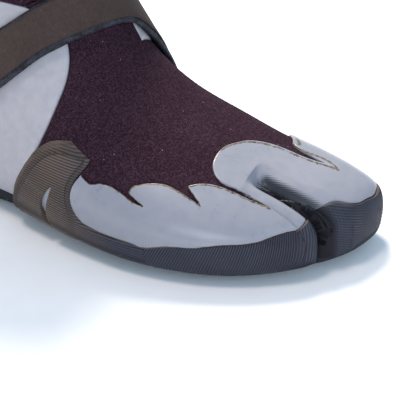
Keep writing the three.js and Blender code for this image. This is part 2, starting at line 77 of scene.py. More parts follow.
camera_data = bpy.data.cameras.new("studio_camera")
camera_data.lens = 105.2
camera_data.sensor_width = 36
camera_data.clip_start, camera_data.clip_end = 0.01, 20
camera = bpy.data.objects.new("studio_camera", camera_data)
bpy.context.scene.collection.objects.link(camera)
camera_right = (view_right - aim * view_right.dot(aim)).normalized()
camera_up = camera_right.cross(aim)
facing = Matrix((camera_right, camera_up, -aim)).transposed().to_4x4()
camera.matrix_world = Matrix.Translation(look_at + away * CAMERA_DISTANCE) @ facing
bpy.context.scene.camera = camera


def area_light(name, place, size, power, colour, towards=(0.0, 0.0, 0.04)):
    data = bpy.data.lights.new(name, "AREA")
    data.shape = "DISK"
    data.size = size
    data.energy = power
    data.color = colour
    lamp = bpy.data.objects.new(name, data)
    lamp.location = place
    lamp.rotation_euler = (Vector(place) - Vector(towards)).to_track_quat("Z", "Y").to_euler()
    bpy.context.scene.collection.objects.link(lamp)


area_light("window_lamp", (-0.5, 0.62, 1.3), 0.5, 30, (1.0, 0.94, 0.86))
area_light("front_lamp", (-0.2, -0.4, 1.35), 0.32, 7, (1.0, 0.84, 0.76))
area_light("camera_side_lamp", (0.45, -1.1, 0.45), 0.5, 3.5, (0.86, 0.92, 1.0))
area_light("sky_lamp", (1.3, -0.6, 0.8), 1.0, 5, (0.58, 0.76, 1.0))

world = bpy.data.worlds.new("studio_sky")
bpy.context.scene.world = world
world.use_nodes = True
sky = world.node_tree.nodes["Background"].inputs
sky["Color"].default_value = (0.60, 0.80, 1.0, 1)
sky["Strength"].default_value = 0.66
bpy.context.scene.view_settings.view_transform = "Standard"
bpy.context.scene.view_settings.look = "None"


def node(tree, kind, inputs=(), **settings):
    """A shader node; inputs are (socket, value or another node's output)."""
    made = tree.nodes.new("ShaderNode" + kind)
    for key, value in settings.items():
        setattr(made, key, value)
    for socket, value in inputs:
        if isinstance(value, bpy.types.NodeSocket):
            tree.links.new(value, made.inputs[socket])
        else:
            made.inputs[socket].default_value = value
    return made


def ramp(tree, value, stops, interpolation="LINEAR"):
    """A colour ramp; stops are (position, grey or colour)."""
    made = node(tree, "ValToRGB", [("Fac", value)])
    made.color_ramp.interpolation = interpolation
    elements = made.color_ramp.elements
    while len(elements) < len(stops):
        elements.new(0.5)
    for element, (position, colour) in zip(elements, stops):
        element.position = position
        colour = (colour,) * 3 if isinstance(colour, (int, float)) else colour
        element.color = (*colour, 1)
    return made.outputs["Color"]


def blend_colour(tree, amount, first, second, mode="MIX"):
    """Two colours mixed, multiplied or screened by an amount."""
    made = node(tree, "Mix", data_type="RGBA", blend_type=mode)
    for socket, value in ((0, amount), (6, first), (7, second)):
        if isinstance(value, bpy.types.NodeSocket):
            tree.links.new(value, made.inputs[socket])
        else:
            made.inputs[socket].default_value = value if socket == 0 else (*value, 1)
    return made.outputs[2]


def calculate(tree, operation, first, second=0.0, third=None):
    """One sum on numbers or other nodes' outputs."""
    inputs = [(0, first), (1, second)] + ([] if third is None else [(2, third)])
    return node(tree, "Math", inputs, operation=operation).outputs[0]


def effect(name, numbers, colours=(), outputs=(("Mask", "Float"),)):
    """An empty shader node group with named inputs and outputs."""
    group = bpy.data.node_groups.new(name, "ShaderNodeTree")
    group.interface.new_socket(name="Vector", in_out="INPUT", socket_type="NodeSocketVector")
    for label in numbers:
        group.interface.new_socket(name=label, in_out="INPUT", socket_type="NodeSocketFloat")
    for label in colours:
        group.interface.new_socket(name=label, in_out="INPUT", socket_type="NodeSocketColor")
    for label, kind in outputs:
        group.interface.new_socket(name=label, in_out="OUTPUT", socket_type="NodeSocket" + kind)
    return group, group.nodes.new("NodeGroupInput").outputs, group.nodes.new("NodeGroupOutput").inputs


def place(tree, group, where, **values):
    """An effect group placed in a material with its own values."""
    made = tree.nodes.new("ShaderNodeGroup")
    made.node_tree = group
    tree.links.new(where, made.inputs["Vector"])
    for label, value in values.items():
        value = (*value, 1) if isinstance(value, tuple) else value
        made.inputs[label.replace("_", " ")].default_value = value
    return made.outputs


def noise(tree, where, scale, detail):
    made = node(tree, "TexNoise", [("Vector", where), ("Scale", scale), ("Detail", detail)])
    return made.outputs["Fac"]


def cells(tree, where, scale):
    """Round cells: their distance from the middle, and a colour of their own for each."""
    return node(tree, "TexVoronoi", [("Vector", where), ("Scale", scale)]).outputs


# Mottle: soft patches of two colours, a broad cloud with a finer one over it.
mottle, given, out = effect(
    "mottle", ["Broad", "Fine"], ["Colour A", "Colour B"], [("Colour", "Color"), ("Value", "Float")]
)
broad = noise(mottle, given["Vector"], given["Broad"], 3.0)
fine = noise(mottle, given["Vector"], given["Fine"], 2.0)
cloud = calculate(mottle, "MULTIPLY_ADD", fine, 0.55, calculate(mottle, "MULTIPLY", broad, 0.45))
cloud = ramp(mottle, cloud, [(0.36, 0.0), (0.64, 1.0)])
mottle.links.new(blend_colour(mottle, cloud, (0, 0, 0), (1, 1, 1)), out["Value"])
mix = node(mottle, "Mix", data_type="RGBA")
mottle.links.new(cloud, mix.inputs[0])
mottle.links.new(given["Colour A"], mix.inputs[6])
mottle.links.new(given["Colour B"], mix.inputs[7])
mottle.links.new(mix.outputs[2], out["Colour"])

# Grain: a fine pebbled height for rubber, film and the table.
grain, given, out = effect("grain", ["Scale", "Depth"], outputs=[("Height", "Float")])
pebbles = noise(grain, given["Vector"], given["Scale"], 4.0)
grain.links.new(calculate(grain, "MULTIPLY", pebbles, given["Depth"]), out["Height"])

# Specks: scattered small dots, such as dust and lint.
specks, given, out = effect("specks", ["Scale", "Size"], outputs=[("Mask", "Float")])
dots = cells(specks, given["Vector"], given["Scale"])
chosen = node(specks, "SeparateColor", [("Color", dots["Color"])])
near = calculate(specks, "LESS_THAN", dots["Distance"], given["Size"])
rare = calculate(specks, "GREATER_THAN", chosen.outputs[0], 0.86)
specks.links.new(calculate(specks, "MULTIPLY", near, rare), out["Mask"])


def finish_material(name, roughness, **constants):
    """A material with its shader and its object coordinates."""
    made = bpy.data.materials.new(name)
    made.use_nodes = True
    tree = made.node_tree
    shader = tree.nodes["Principled BSDF"]
    shader.inputs["Roughness"].default_value = roughness
    for label, value in constants.items():
        shader.inputs[label.replace("_", " ")].default_value = value
    return made, tree, shader, tree.nodes.new("ShaderNodeTexCoord").outputs["Object"]


def feed(tree, shader, colour=None, roughness=None, height=None, strength=0.5, distance=0.0002):
    """Joins what a material has worked out to its shader; height is felt as bumps."""
    if colour is not None:
        tree.links.new(colour, shader.inputs["Base Color"])
    if roughness is not None:
        tree.links.new(roughness, shader.inputs["Roughness"])
    if height is not None:
        bump = node(tree, "Bump", [("Height", height), ("Strength", strength), ("Distance", distance)])
        tree.links.new(bump.outputs[0], shader.inputs["Normal"])


table_top, tree, shader, where = finish_material("table_top", 0.55)
tone = place(tree, mottle, where, Broad=3.0, Fine=60.0, Colour_A=(0.9, 0.9, 0.9), Colour_B=(0.93, 0.93, 0.93))
table_grain = place(tree, grain, where, Scale=900.0, Depth=0.4)
feed(tree, shader, tone["Colour"], height=table_grain["Height"], strength=0.1)
bpy.ops.object.select_all(action="DESELECT")
bpy.ops.mesh.primitive_plane_add(size=8, location=(0, 0, -0.0002))
table = bpy.context.active_object
table.name = "table"
table.data.transform(Matrix.Translation(table.location))
table.location = (0, 0, 0)
table.data.materials.append(table_top)

# ---------------------------------------------------------------------------
# Foam sock, vamp: one plum panel of 3 mm foam with a mottled knit face, cut to go
# over the instep and both toe pockets, glued edge to edge to its neighbours.
# ---------------------------------------------------------------------------
# The last: sections fanned from the toe tip over the heel to the cuff, in millimetres.
# top x, top z, bottom x, bottom z, ridge y, half width outside, half width inside,
# height share of the widest point, roundness: upper outside, upper inside, lower.
LAST = np.array([
    [287, 23, 287, 17, 24, 3, 3, 0.5, 2, 2, 2],
    [285, 30, 285, 13, 23, 13, 10, 0.46, 2, 2, 2.2],
    [280, 35, 280, 11, 21, 27, 17, 0.43, 2, 2, 2.6],
    [268, 40, 268, 9, 19, 42, 23, 0.42, 2, 2.1, 3],
    [252, 44, 252, 7, 18, 55, 28, 0.42, 1.9, 2.2, 3.4],
    [230, 50, 230, 5.6, 15, 64, 34, 0.4, 1.9, 2.2, 3.6],
    [205, 59, 205, 5.6, 13, 69, 38, 0.36, 1.9, 2.3, 3.6],
    [180, 71, 180, 5.6, 12, 70, 37, 0.32, 1.9, 2.3, 3.4],
    [162, 88, 150, 5.6, 12, 67, 32, 0.3, 1.9, 2.2, 3.2],
    [152, 106, 110, 5.6, 10, 58, 32, 0.34, 1.9, 2.1, 3],
    [146, 124, 62, 5.6, 6, 47, 34, 0.4, 2, 2, 2.8],
    [142, 142, 22, 10, 3, 41, 35, 0.45, 2, 2, 2.4],
    [138, 158, 6, 50, 1, 38, 36, 0.48, 2, 2, 2.2],
    [135, 174, 13, 95, 0, 38, 37, 0.5, 2, 2, 2],
    [133, 190, 19, 140, 0, 39, 38, 0.5, 2, 2, 2],
    [132, 206, 21, 185, 0, 40, 39, 0.5, 2, 2, 2],
    [132, 226, 21, 226, 0, 41, 40, 0.5, 2, 2, 2],
])
SOLE_SHEET = 5.6  # foam and tread under the foot; the tread's own last lies that much lower
TREAD_LAST = LAST.copy()
TREAD_LAST[:12, 3] -= SOLE_SHEET
TREAD_LAST[10, 2] -= 1
TREAD_LAST[11, 2] -= 4


def along_last(last, t):
    """Values between a table's rows, on a smooth curve through all of them."""
    i = np.clip(np.floor(t).astype(int), 0, len(last) - 2)
    f = (t - i)[..., None]
    b, c = last[i], last[i + 1]
    a = np.where((i > 0)[..., None], last[np.maximum(i - 1, 0)], 2 * b - c)
    d = np.where((i < len(last) - 2)[..., None], last[np.minimum(i + 2, len(last) - 1)], 2 * c - b)
    return 0.5 * (2 * b + (c - a) * f + (2 * a - 5 * b + 4 * c - d) * f**2 + (3 * b - a - 3 * c + d) * f**3)


def on_last(t, angle, last=LAST):
    """Points of the last: t runs over the sections, angle from the ridge towards the inside."""
    section = np.moveaxis(along_last(last, t), -1, 0)
    tx, tz, bx, bz, ridge, outside, inside, share, up_out, up_in, low = section
    height = np.hypot(tx - bx, tz - bz)
    c, s = np.cos(angle), np.sin(angle)
    width = np.where(s >= 0, inside, outside)
    roundness = np.where(c >= 0, np.where(s >= 0, up_in, up_out), low)
    middle = share * height
    h = middle + np.where(c >= 0, height - middle, middle) * np.sign(c) * np.abs(c) ** (2 / roundness)
    y = ridge + width * np.sign(s) * np.abs(s) ** (2 / roundness)
    return np.stack([bx + (tx - bx) / height * h, y, bz + (tz - bz) / height * h], -1)


def last_normal(t, angle, last=LAST):
    """The direction straight out of the last."""
    step = 1e-3
    middle = np.clip(t, 0.02, len(last) - 1.02)
    forward = on_last(middle + step, angle, last) - on_last(middle - step, angle, last)
    round_it = on_last(t, angle + step, last) - on_last(t, angle - step, last)
    normal = np.cross(round_it, forward)
    return normal / (np.linalg.norm(normal, axis=-1, keepdims=True) + 1e-12)


def smooth_line(points, step=0.7, corner=70):
    """A drawn line through its points, with sharp turns kept as corners."""
    points = np.asarray(points, float)
    chords = np.diff(points, axis=0)
    lengths = np.linalg.norm(chords, axis=1)
    directions = chords / lengths[:, None]
    turns = np.degrees(np.arccos(np.clip((directions[:-1] * directions[1:]).sum(1), -1, 1)))
    tangents = np.vstack([directions[:1], np.zeros((len(points) - 2, points.shape[1])), directions[-1:]])
    for k in range(1, len(points) - 1):
        mean = directions[k - 1] * lengths[k] + directions[k] * lengths[k - 1]
        tangents[k] = mean / (lengths[k - 1] + lengths[k])
    made = []
    for k, length in enumerate(lengths):
        start = directions[k] if k and turns[k - 1] > corner else tangents[k]
        end = directions[k] if k < len(turns) and turns[k] > corner else tangents[k + 1]
        f = np.arange(0, 1, 1 / max(1, round(length / step)))[:, None]
        made.append((2 * f**3 - 3 * f**2 + 1) * points[k] + (f**3 - 2 * f**2 + f) * length * start
                    + (3 * f**2 - 2 * f**3) * points[k + 1] + (f**3 - f**2) * length * end)
    return np.vstack(made + [points[-1:]])


def gap_to_line(points, line):
    """Shortest distance from flat points to a line of points, exact within 5 mm of it."""
    def measure(points, a, b):
        ab = b - a
        best = np.empty(len(points))
        for start in range(0, len(points), 4000):
            p = points[start:start + 4000, None, :] - a[None]
            f = np.clip((p * ab).sum(-1) / ((ab * ab).sum(-1) + 1e-12), 0, 1)
            best[start:start + 4000] = np.sqrt(((p - f[..., None] * ab) ** 2).sum(-1)).min(1)
        return best

    sparse = np.vstack([line[:-1:8], line[-1:]])
    best = measure(points, sparse[:-1], sparse[1:])
    close = best < 5
    if close.any():
        best[close] = measure(points[close], line[:-1], line[1:])
    return best


def inside_outline(points, outline):
    """Whether flat points lie inside a closed outline."""
    x, y = points.T
    inside = np.zeros(len(points), bool)
    for (x0, y0), (x1, y1) in zip(outline, np.roll(outline, -1, 0)):
        if y0 != y1:
            inside ^= ((y0 > y) != (y1 > y)) & (x < (x1 - x0) * (y - y0) / (y1 - y0) + x0)
    return inside


def within(outline, points):
    """How far flat points lie inside a closed outline, negative outside."""
    outline = np.asarray(outline, float)
    near = gap_to_line(points, np.vstack([outline, outline[:1]]))
    return np.where(inside_outline(points, outline), near, -near)


def from_side(p):
    """The pattern plane seen from the side: length and height."""
    return p[:, [0, 2]]


PLANE_TURN, PLANE_TILT = math.radians(28), math.radians(29)
plane_right = np.array([math.cos(PLANE_TURN), math.sin(PLANE_TURN), 0])
plane_out = np.array([math.sin(PLANE_TURN) * math.cos(PLANE_TILT),
                      -math.cos(PLANE_TURN) * math.cos(PLANE_TILT), math.sin(PLANE_TILT)])
plane_up = np.cross(plane_out, plane_right)


def from_outer(p):
    """The sloping pattern plane that faces the outer side of the toes."""
    return np.stack([p @ plane_right, p @ plane_up], -1)


def signed_volume(points, faces):
    """Six times the volume inside closed faces, negative where they are inside out."""
    by_size = {}
    for face in faces:
        by_size.setdefault(len(face), []).append(face)
    total = 0.0
    for size, group in by_size.items():
        corners = points[np.array(group)]
        for k in range(1, size - 1):
            total += (corners[:, 0] * np.cross(corners[:, k], corners[:, k + 1])).sum()
    return total


def mesh_object(name, points, faces, materials=()):
    """A closed mesh, with its faces turned outward."""
    points = np.asarray(points, float)
    if signed_volume(points, faces) < 0:
        faces = [face[::-1] for face in faces]
    data = bpy.data.meshes.new(name)
    data.from_pydata(points.tolist(), [], faces)
    data.update()
    made = bpy.data.objects.new(name, data)
    bpy.context.scene.collection.objects.link(made)
    for material in materials:
        data.materials.append(material)
    return made


def split_faces(values, t, angle, faces, level):
    """Cuts the faces of a sheet along the line where the values equal level."""
    values = [float(v) if abs(v - level) > 1e-4 else level for v in values]
    t, angle = list(t), list(angle)
    cut, made = {}, []
    for face in faces:
        above = [values[v] > level for v in face]
        below = [values[v] < level for v in face]
        if not (any(above) and any(below)):
            made.append(face)
            continue
        parts = ([], [])
        for v, w in zip(face, face[1:] + face[:1]):
            a, b = values[v], values[w]
            if a >= level:
                parts[0].append(v)
            if a <= level:
                parts[1].append(v)
            if (a > level > b) or (a < level < b):
                key = (v, w) if v < w else (w, v)
                if key not in cut:
                    f = (level - values[key[0]]) / (values[key[1]] - values[key[0]])
                    cut[key] = len(values)
                    values.append(level)
                    t.append(t[key[0]] + (t[key[1]] - t[key[0]]) * f)
                    angle.append(angle[key[0]] + (angle[key[1]] - angle[key[0]]) * f)
                parts[0].append(cut[key])
                parts[1].append(cut[key])
        made += [part for part in parts if len(part) >= 3]
    return np.array(values), np.array(t), np.array(angle), made


def true_distance(value, base, rows, columns):
    """Distances to a cut, measured along a sloping surface instead of in its flat pattern."""
    p, d = base.reshape(rows, columns, 3), value.reshape(rows, columns)
    p_rows, p_columns = np.gradient(p, axis=0), np.gradient(p, axis=1)
    d_rows, d_columns = np.gradient(d, axis=0), np.gradient(d, axis=1)
    e, f, g = (p_rows * p_rows).sum(-1), (p_rows * p_columns).sum(-1), (p_columns * p_columns).sum(-1)
    squared = g * d_rows**2 - 2 * f * d_rows * d_columns + e * d_columns**2
    slope = np.sqrt(np.clip(squared / np.maximum(e * g - f * f, 1e-9), 0, 4))
    return value / np.clip(slope, 0.35, 1).ravel()


ALL_ROUND = (-180, 180)
TOES_END = 5  # the gap between the toes lies in front of this section
MARGIN = 3  # faces further than this outside a cut are dropped at once


def cut_skin(name, span, turn_span, count, zone, outer, inner, levels=(), outer_last=LAST, inner_last=LAST,
             materials=(), along_surface=True):
    """A closed skin on the last, cut to a zone: span and turn_span are the sections and degrees it may
    cover, count its rows and columns; zone(points) is how far inside the cut a point lies; outer and
    inner give its two faces' heights over the last; levels are extra rows of points along the cut."""
    rows, columns = count
    full = turn_span[1] - turn_span[0] >= 359.9
    columns += full
    t, angle = [g.ravel() for g in np.meshgrid(
        np.linspace(*span, rows), np.radians(np.linspace(*turn_span, columns)), indexing="ij")]
    base = on_last(t, angle, outer_last)
    value = zone(base)
    if along_surface:
        value = true_distance(value, base, rows, columns)
    i, j = [g.ravel() for g in np.meshgrid(np.arange(rows - 1), np.arange(columns - 1), indexing="ij")]
    first, next_row = i * columns + j, (i + 1) * columns + j
    quads = np.stack([first, first + 1, next_row + 1, next_row], -1)
    if full:
        quads = np.where(quads % columns == columns - 1, quads - columns + 1, quads)
    faces = quads[(value[quads] > -MARGIN).any(1)].tolist()
    if span[0] == 0 and full:  # closed by one point at the toe tip, kept at a t of -1
        ring = list(range(columns - 1))
        pole = len(t)
        t, angle = np.append(t, -1.0), np.append(angle, 0.0)
        value = np.append(value, value[ring].mean())
        faces += [[pole, b, a] for a, b in zip(ring, ring[1:] + ring[:1])]
    for level in sorted({0.0, *levels}):
        value, t, angle, faces = split_faces(value, t, angle, faces, level)
    kept = [face for face in faces if sum(value[v] for v in face) / len(face) > 0]
    used = np.unique(np.concatenate([np.array(face) for face in kept]))
    index = np.full(len(value), -1)
    index[used] = np.arange(len(used))
    kept = [[int(index[v]) for v in face] for face in kept]
    value, t, angle = value[used], t[used], angle[used]
    poles = t < 0
    t = np.clip(t, 0, None)

    def raised(last, height):
        points = on_last(t, angle, last)
        lifted = points + last_normal(t, angle, last) * np.asarray(height(points, value)).reshape(-1, 1)
        if poles.any():
            start, round_it = np.zeros(24), np.linspace(0, 2 * math.pi, 24, endpoint=False)
            tip = on_last(start, round_it, last) + last_normal(start, round_it, last) * float(
                np.mean(height(points[poles], value[poles])))
            lifted[poles] = tip.mean(0) + np.array([0.35, 0, 0])
        return into_gap(lifted, height(points, value)) if span[0] < TOES_END else lifted

    top, under = raised(outer_last, outer), raised(inner_last, inner)
    edges = dict.fromkeys((a, b) for face in kept for a, b in zip(face, face[1:] + face[:1]))
    shift = len(top)
    walls = [[b, a, a + shift, b + shift] for a, b in edges if (b, a) not in edges]
    body = kept + [[v + shift for v in reversed(face)] for face in kept] + walls
    return mesh_object(name, to_frame(np.vstack([top, under])), body, materials)


def even(height):
    """A face that lies at one height all over."""
    return lambda points, *_: np.full(len(points), float(height))


def settle(piece, angle=32):
    """Smooth shading, except across edges sharper than the angle."""
    bpy.ops.object.select_all(action="DESELECT")
    piece.select_set(True)
    bpy.context.view_layer.objects.active = piece
    bpy.ops.object.shade_smooth_by_angle(angle=math.radians(angle))
    return piece


# The gap between the toes: the height line of the toes along it, with a round shoulder either
# side. Below the shoulders two sloping walls meet in a narrow valley, which fades out rearwards.
GAP_LINE = smooth_line([
    [212, 53], [222, 49.6], [227, 48], [232, 46.3], [237, 44.7], [242, 43], [250, 40.7], [257, 38.4],
    [263, 36], [268, 33.5], [272, 30], [274.6, 26], [275.4, 20], [274, 0], [270, -20],
], step=1.6)
GAP_START, GAP_REAR = 212, 240.0
GAP_Y, GAP_HALF, SHOULDER = -13.0, 3.0, 9.0
OUTER_NARROWER = 1.3  # the outer wall stands that many times nearer the middle
GAP_SLOPE, GAP_FADE, GAP_RAMP = 2.2, 233.0, 1.15  # the walls' slope, and where and how the valley fades
GAP_SOFTNESS = 0.9  # how closely the walls follow the smaller of the two depths


def into_gap(points, height):
    """Points of a layer that would stand in the gap between the toes, moved onto its wall."""
    height = np.broadcast_to(np.asarray(height, float).ravel(), len(points))
    offset = points[:, 1] - GAP_Y
    chosen = np.flatnonzero((np.abs(offset) < GAP_HALF + SHOULDER) & (points[:, 0] > GAP_START))
    moved = points.copy()
    direction = np.gradient(GAP_LINE, axis=0)
    direction /= np.linalg.norm(direction, axis=1, keepdims=True)
    inward = np.stack([direction[:, 1], -direction[:, 0]], -1)
    ease = np.clip((GAP_LINE[:, 0] - 245) / 30, 0, 1)
    for start in range(0, len(chosen), 3000):
        rows = chosen[start:start + 3000]
        s, h = offset[rows], height[rows]
        away_from = np.where(s < 0, -OUTER_NARROWER * s, s)
        wall = GAP_HALF - h
        across = GAP_HALF + SHOULDER - away_from
        round_depth = SHOULDER - np.sqrt(np.maximum((SHOULDER + h) ** 2 - across**2, 0))
        depth = np.where(away_from >= wall, round_depth, SHOULDER + (wall - away_from) * GAP_SLOPE)
        ramp_depth = np.maximum((GAP_LINE[None, :, 0] - GAP_FADE) * GAP_RAMP, -3) - 1.15 * h[:, None]
        local = -np.logaddexp(-GAP_SOFTNESS * depth[:, None], -GAP_SOFTNESS * ramp_depth) / GAP_SOFTNESS
        # Either side of the gap the line leans with the toe that it belongs to.
        lean = GAP_LINE[None] + np.stack([
            s[:, None] * np.where(s > 0, 0.5, 0.8)[:, None] * ease[None],
            np.broadcast_to((s * np.where(s > 0, 0.2, 0.34))[:, None], local.shape)], -1)
        line = lean + inward[None] * local[..., None]
        flat = from_side(points[rows])[:, None, :]
        a, ab = line[:, :-1], np.diff(line, axis=1)
        f = np.clip(((flat - a) * ab).sum(-1) / ((ab * ab).sum(-1) + 1e-9), 0, 1)
        nearest = a + f[..., None] * ab
        best = ((flat - nearest) ** 2).sum(-1).argmin(1)
        k = np.arange(len(rows))
        q, along = nearest[k, best], ab[k, best]
        cross = along[:, 0] * (flat[:, 0, 1] - q[:, 1]) - along[:, 1] * (flat[:, 0, 0] - q[:, 0])
        inside = cross > 0
        moved[rows[inside], 0] = q[inside, 0]
        moved[rows[inside], 2] = q[inside, 1]
    return moved


# The pattern lines, seen from the side as length and height.
QUARTER_FRONT = smooth_line([
    [118, 10], [122, 25], [127, 44], [130, 52], [135, 64], [138.5, 75], [140.5, 84], [140.5, 92],
    [139, 99], [135, 108], [127, 115], [116, 119]])
QUARTER_REAR = smooth_line([
    [116, 119], [104, 121], [90, 121], [78, 118], [66, 110], [57, 98], [51, 84], [47, 66],
    [45, 45], [44, 25], [44, 10.9]])
INNER_FRONT = smooth_line([
    [118, 10], [122, 25], [127, 44], [132, 55], [141, 67], [149.5, 77], [154, 84], [157.5, 91],
    [159.4, 97], [158.4, 102.5], [152.5, 108.5], [136, 116], [116, 119]])
SHAFT_SEAM = smooth_line([
    [-40, 121], [66, 110], [78, 118], [90, 121], [104, 121], [116, 119], [150, 140], [330, 140]], corner=25)
BOTTOM_SEAM = smooth_line([[-40, 11], [40, 11], [110, 10], [230, 10], [255, 12], [275, 16], [330, 21]])
FOAM = 3.0
SEAM_HALF = 0.12  # half the width of a glued seam
PUFF = 1.5  # the foam's edges turn down this far from a seam
EDGE_ROWS = [PUFF * k for k in (0.12, 0.3, 0.6, 1.0)]
OVER_RIDGE = 13.0  # from here on the panels are cut by the inner side's lines


def side_zone(*lines):
    """A zone seen from the side, from lines joined end to end; half a seam is left all round."""
    outline = np.vstack(lines)
    return lambda p: within(outline, from_side(p)) - SEAM_HALF


def rounded(d, reach=0.9, drop=0.7):
    """How far an edge turns down, in a quarter round, at a distance from the cut."""
    f = np.clip(1 - d / reach, 0, 1)
    return -drop * (1 - np.sqrt(np.clip(1 - f * f, 0, 1)))


def pillow(p, d, height=0.0, reach=PUFF, drop=1.0):
    """A face at a height, with its edge turned down."""
    return height + rounded(d, reach, drop)


def vamp_zone(p):
    """The inner quarter reaches further forward, to the ridge under the strap's front edge."""
    under_toes = BOTTOM_SEAM[BOTTOM_SEAM[:, 0] > 118][::-1]
    outer, inner = (side_zone([[118, 10.2]], front, [[150, 140], [331, 140]], under_toes)(p)
                    for front in (QUARTER_FRONT, INNER_FRONT))
    return np.where(p[:, 1] > OVER_RIDGE, inner, outer)


# Knit: small round loops with a fuzz over them, and a tone of its own for each loop.
knit, given, out = effect("knit_face", ["Scale"], outputs=[("Height", "Float"), ("Value", "Float")])
loops = cells(knit, given["Vector"], given["Scale"])
fuzz = noise(knit, given["Vector"], calculate(knit, "MULTIPLY", given["Scale"], 1.7), 3.0)
loop_height = calculate(knit, "SUBTRACT", 1.0, loops["Distance"])
knit.links.new(calculate(knit, "MULTIPLY_ADD", fuzz, 0.7, loop_height), out["Height"])
tones = node(knit, "SeparateColor", [("Color", loops["Color"])])
tone = calculate(knit, "MULTIPLY", tones.outputs[0], 0.5)
knit.links.new(calculate(knit, "MULTIPLY_ADD", fuzz, 0.5, tone), out["Value"])


def kept_number(tree, name):
    """A number that mark() keeps at each point of a piece."""
    return node(tree, "Attribute", attribute_name=name, attribute_type="GEOMETRY").outputs["Fac"]


plum_knit, tree, shader, where = finish_material("plum_knit", 0.95, Specular_IOR_Level=0.08)
face = place(tree, knit, where, Scale=2000.0)
patches = place(tree, mottle, where, Broad=45.0, Fine=1100.0,
                Colour_A=(0.0205, 0.0098, 0.0145), Colour_B=(0.029, 0.0142, 0.021))
stitches = ramp(tree, face["Value"], [
    (0.25, (0.55, 0.5, 0.55)), (0.5, (1.0, 0.96, 1.0)), (0.74, (2.3, 2.1, 2.35))])
colour = blend_colour(tree, 1.0, patches["Colour"], stitches, "MULTIPLY")
lint = place(tree, specks, where, Scale=260.0, Size=0.085)
colour = blend_colour(tree, calculate(tree, "MULTIPLY", lint["Mask"], 0.45), colour, (0.36, 0.31, 0.38))
# Down between the toes the knit is darkened to near black: painted shade.
gap_shade_amount = kept_number(tree, "painted_gap_shade")
colour = blend_colour(tree, ramp(tree, gap_shade_amount, [(0.05, 0.0), (0.3, 1.0)]), colour, (0.012, 0.012, 0.016))
feed(tree, shader, colour, height=face["Height"], strength=0.55, distance=0.0004)


def mark(piece, name, values):
    """A number kept at each point of a piece, for its material."""
    layer = piece.data.attributes.new(name, "FLOAT", "POINT")
    layer.data.foreach_set("value", np.asarray(values, np.float32))


def last_points(piece):
    """A piece's points in the last's millimetres."""
    co = np.empty(len(piece.data.vertices) * 3)
    piece.data.vertices.foreach_get("co", co)
    return co.reshape(-1, 3) * 1000 + LAST_SHIFT


def gap_shade(p):
    """How deep a point lies between the toes, for the painted shade that darkens the colour there: 1 down in
    the gap.
    """
    offset = p[:, 1] - GAP_Y
    across = np.where(offset > 0, (8.0 - offset) / 5.0, (5.5 + offset) / 3.0)
    along = (p[:, 0] - (GAP_REAR - 5)) / 5
    return np.clip(across, 0, 1) * np.clip(along, 0, 1)


vamp = cut_skin(
    "vamp_foam", (0, 12.6), ALL_ROUND, (190, 190),
    vamp_zone, pillow, even(-FOAM), EDGE_ROWS, materials=[plum_knit])
mark(vamp, "painted_gap_shade", gap_shade(last_points(vamp)))
settle(vamp)
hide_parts("vamp_panel")
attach(vamp, "boot")

# ---------------------------------------------------------------------------
# Foam sock, sole panel: the foam under the foot, hidden between tread and insole.
# ---------------------------------------------------------------------------
sole_foam = cut_skin(
    "sole_foam", (0, 12.4), ALL_ROUND, (90, 100),
    lambda p: np.interp(p[:, 0], *BOTTOM_SEAM.T) - SEAM_HALF - p[:, 2],
    pillow, even(-FOAM), materials=[plum_knit])
settle(sole_foam)
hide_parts("bottom_panel")
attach(sole_foam, "boot")

# ---------------------------------------------------------------------------
# Foam sock, quarters: a pale smooth-skin foam panel either side of the ankle.
# Its glued edges turn down and catch the light as a soft rim.
# ---------------------------------------------------------------------------
pale_skin, tree, shader, where = finish_material(
    "pale_skin_foam", 0.5, Specular_IOR_Level=0.35, Sheen_Weight=0.08)
bands = place(tree, mottle, where, Broad=28.0, Fine=210.0,
              Colour_A=(0.335, 0.32, 0.35), Colour_B=(0.40, 0.375, 0.395))
dust = place(tree, specks, where, Scale=330.0, Size=0.07)
colour = blend_colour(
    tree, calculate(tree, "MULTIPLY", dust["Mask"], 0.3), bands["Colour"], (0.24, 0.22, 0.25))
skin_grain = place(tree, grain, where, Scale=1600.0, Depth=1.0)
feed(tree, shader, colour, ramp(tree, bands["Value"], [(0.0, 0.44), (1.0, 0.58)]),
     skin_grain["Height"], strength=0.16, distance=0.0003)

QUARTER_PROUD, RIM, RIM_DROP = 0.45, 2.2, 1.5
for side_name, front, turn_span in (
    ("lateral", QUARTER_FRONT, (-172, -8)), ("medial", INNER_FRONT, (-40, 172)),
):
    quarter_zone = side_zone(front, QUARTER_REAR, [[118, 10.15]])
    quarter = cut_skin(
        side_name + "_quarter_foam", (7.7, 13.3), turn_span, (170, 130),
        lambda p: np.minimum(quarter_zone(p), p[:, 1] - OVER_RIDGE if side_name == "medial" else 99),
        lambda p, d: pillow(p, d, QUARTER_PROUD, RIM, RIM_DROP), even(-FOAM),
        [0.25, 0.6, 1.2, RIM], materials=[pale_skin])
    settle(quarter)
    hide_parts(side_name + "_quarter")
    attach(quarter, "boot")

